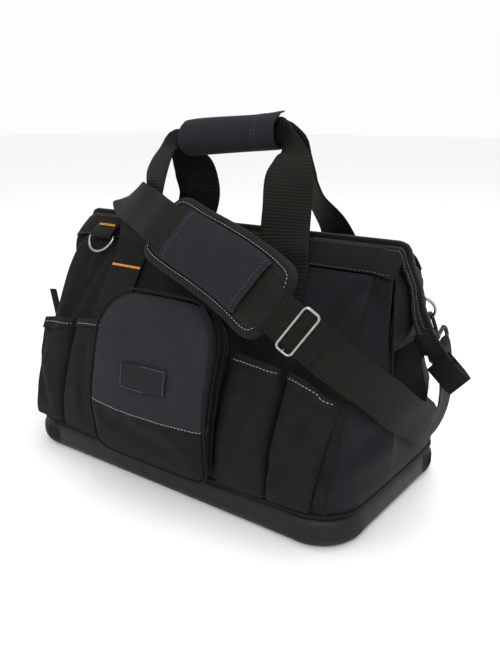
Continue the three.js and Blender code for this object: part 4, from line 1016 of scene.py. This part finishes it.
# The strap runs straight under the slider's wire, 30 mm each way
first, last = (int(np.argmin(np.abs(strap_way.marks - near - gap * MM))) for gap in (-30, 30))
for k in range(first, last + 1):
    share = (strap_way.marks[k] - strap_way.marks[first]) / (strap_way.marks[last] - strap_way.marks[first])
    strap_way.centres[k] = strap_way.centres[first] * (1 - share) + strap_way.centres[last] * share
along = strap_way.centres[last] - strap_way.centres[first]
along /= np.linalg.norm(along)
across = strap_way.pick(strap_way.across, near)
across -= along * (across @ along)
across /= np.linalg.norm(across)
normal = np.cross(along, across)
if normal[1] > 0:
    normal = -normal
for k in range(first, last + 1):
    strap_way.across[k] = across
    strap_way.normal[k] = normal
# The wire frame lies on the strap, a little smaller than its solid, with its bar behind
axes = np.array([across, np.cross(normal, across), normal])
reach = points @ axes.T
middle = strap_way.at(near) + normal * 2.3 * MM
half = (reach.max(axis=0) - reach.min(axis=0)) / 2 * np.array([0.83, 0.74, 1])
wire = 1.3 * MM
frame_wire = wire_frame(
    "strap.slider", 2 * (half[0] - wire), 2 * (half[1] - wire), 4.2 * MM, wire, nickel,
)
bpy.ops.mesh.primitive_cylinder_add(radius=wire * 0.92, depth=2 * (half[0] - wire), vertices=20,
                                    rotation=(0, math.pi / 2, 0), location=(0, 0, -3.4 * MM))
bar = bpy.context.object
bar.data.materials.append(nickel)
bpy.ops.object.shade_smooth()
bpy.ops.object.transform_apply(location=True, rotation=True, scale=True)
bpy.ops.object.select_all(action="DESELECT")
bar.select_set(True)
frame_wire.select_set(True)
bpy.context.view_layer.objects.active = frame_wire
bpy.ops.object.join()
stand(frame_wire, middle, axes)
finish(frame_wire, "steel", "strap_slider")
smooth_copy("front.ring", "front_ring", "steel", nickel, 2, body="ring")
for side in ("left", "right"):
    crisp_copy("strap.hook." + side, "strap_hook_" + side, "dark_metal", black_zinc, 0.5)

# The shoulder strap and its pad
finish(web("shoulder.strap", strap_way, 1.8, webbing), "webbing", "shoulder_strap")
pad_way = way_of("shoulder_pad", 8).face((0, -1, 0.4))


# How far a place on the pad lies inside its edge, in mm, and whether it is on the front
def inside_pad(place):
    k = int(np.argmin(np.linalg.norm(pad_way.centres - np.array(place), axis=1)))
    offset = np.array(place) - pad_way.centres[k]
    s = pad_way.marks[k]
    side = (pad_way.half[k] - abs(offset @ pad_way.across[k])) / MM
    return min(side, s / MM, (pad_way.length - s) / MM), offset @ pad_way.normal[k] > 0


# Cloth swelled by its filling: it may move no further than the cap allows at each place
def swell(piece, voxel, pressure, cap):
    remesh = piece.modifiers.new("even cloth", "REMESH")
    remesh.mode = "VOXEL"
    remesh.voxel_size = voxel * MM
    apply_all(piece)
    start = [vertex.co.copy() for vertex in piece.data.vertices]
    pick(piece)
    cloth = piece.modifiers.new("cloth", "CLOTH")
    cloth.settings.use_pressure = True
    cloth.settings.uniform_pressure_force = pressure
    cloth.settings.effector_weights.gravity = 0
    for step in range(1, SETTLING + 1):
        bpy.context.scene.frame_set(step)
    apply_all(piece)
    bpy.context.scene.frame_set(1)
    for vertex, place in zip(piece.data.vertices, start):
        move = vertex.co - place
        most = cap(place) * MM
        if move.length > most:
            vertex.co = place + move * (most / move.length)
    subdivide(piece, 1)


def pad_cap(place):
    inside, front = inside_pad(place)
    return ramp(inside, 5, 20) * (2.6 if front and inside < 9 else 1.0 if front else 0.8)


pad = copy_of("shoulder_pad", "shoulder.pad", pad_cloth)
swell(pad, 3, 4, pad_cap)
pad.data.polygons.foreach_set("use_smooth", [True] * len(pad.data.polygons))
finish(pad, "navy_cloth", "shoulder_pad")
smooth_copy("pad.sleeve", "pad_sleeve", "navy_cloth", pad_cloth, 2)

# Tape folded over the pad's edge, and its row of stitches
edge = [(s, 1) for s in pad_way.marks] + [(s, -1) for s in pad_way.marks[::-1]]
outline = np.array([pad_way.at(s, a * np.interp(s, pad_way.marks, pad_way.half)) for s, a in edge])
outs = np.array([pad_way.pick(pad_way.normal, s) for s, a in edge])
marks = distances(np.vstack([outline, outline[:1]]))
where = np.linspace(0, marks[-1], EDGE_POINTS, endpoint=False)
spread = [row_at(where, marks, np.vstack([rows, rows[:1]])).T for rows in (outline, outs)]
for turn in range(4):
    spread[0] = (np.roll(spread[0], 1, axis=0) + 2 * spread[0] + np.roll(spread[0], -1, axis=0)) / 4
ways = np.roll(spread[0], -1, axis=0) - np.roll(spread[0], 1, axis=0)
sides = np.cross(ways, spread[1])
sides /= np.linalg.norm(sides, axis=1)[:, None]
if np.sum(sides * (spread[0] - spread[0].mean(axis=0))) < 0:
    sides = -sides
# The tape's section: mm beyond the pad's edge and out of its face
FOLD = [(-8, 4.6), (-4, 4.9), (-0.6, 3.9), (1.2, 1.6), (1.2, -1.6), (-0.6, -3.9), (-4, -4.5), (-8, -4.3),
        (-8.4, -3.2), (-8.4, 3.2)]
places = list(zip(spread[0], sides, spread[1]))
folded = [[at + side * beyond * MM + out * n * MM for beyond, n in FOLD] for at, side, out in places]
finish(skin("pad.binding", folded, grosgrain, where, closed_way=True), "binding")
line = np.array([at - side * 6.3 * MM + out * 4.85 * MM for at, side, out in places])
ends = []
sleeve_tree = tree_of(bpy.data.objects["pad.sleeve"])
for share in (0.215, 0.785):
    ends.append(laid(sleeve_tree, pad_way, [(share, a) for a in np.linspace(-0.72, 0.72, 30)], 0.1, 20))
stitches("pad.sleeve.stitches", ends, dark_thread, 2.2, 1.6, 0.34)
closed = (np.vstack([line, line[:1]]), np.vstack([spread[1], spread[1][:1]]))
stitches("pad.stitches", [closed], pale_thread, 2.4, 1.7, 0.36)


# A plain pale floor and soft light from all round
def add_stage():
    bpy.ops.object.select_all(action="DESELECT")
    bpy.ops.mesh.primitive_plane_add(size=30, location=(0, 0, 0))
    floor = bpy.context.object
    floor.name = "floor"
    made, tree, shader = new_material("pale studio floor")
    place = put(tree, "TexCoord").outputs["Object"]
    cloud = put(tree, "TexNoise", {"Vector": place, "Scale": 2.0})
    tones = {0: cloud.outputs["Fac"], 6: colour("F6F6F5"), 7: colour("FAFAFA")}
    tone = put(tree, "Mix", tones, data_type="RGBA")
    fill(tree, shader, {"Base Color": tone.outputs[2], "Roughness": 0.9})
    floor.data.materials.append(made)
    world = bpy.data.worlds.new("studio")
    world.use_nodes = True
    sky = world.node_tree.nodes["Background"]
    fill(world.node_tree, sky, {"Color": (1, 1, 1, 1), "Strength": 0.98})
    bpy.context.scene.world = world
    lamps = [
        ("key", (0.9, -1.9, 1.7), 22, 0.7),
        ("fill", (1.9, -0.8, 1.0), 5, 1.2),
        ("top", (0.2, 0.5, 2.2), 16, 1.4),
    ]
    for name, place, power, size in lamps:
        data = bpy.data.lights.new(name, "AREA")
        data.energy = power
        data.size = size
        lamp = bpy.data.objects.new(name, data)
        lamp.location = place
        lamp.rotation_euler = (Vector(place) - Vector((0, 0, 0.15))).to_track_quat("Z", "Y").to_euler()
        bpy.context.scene.collection.objects.link(lamp)


add_stage()
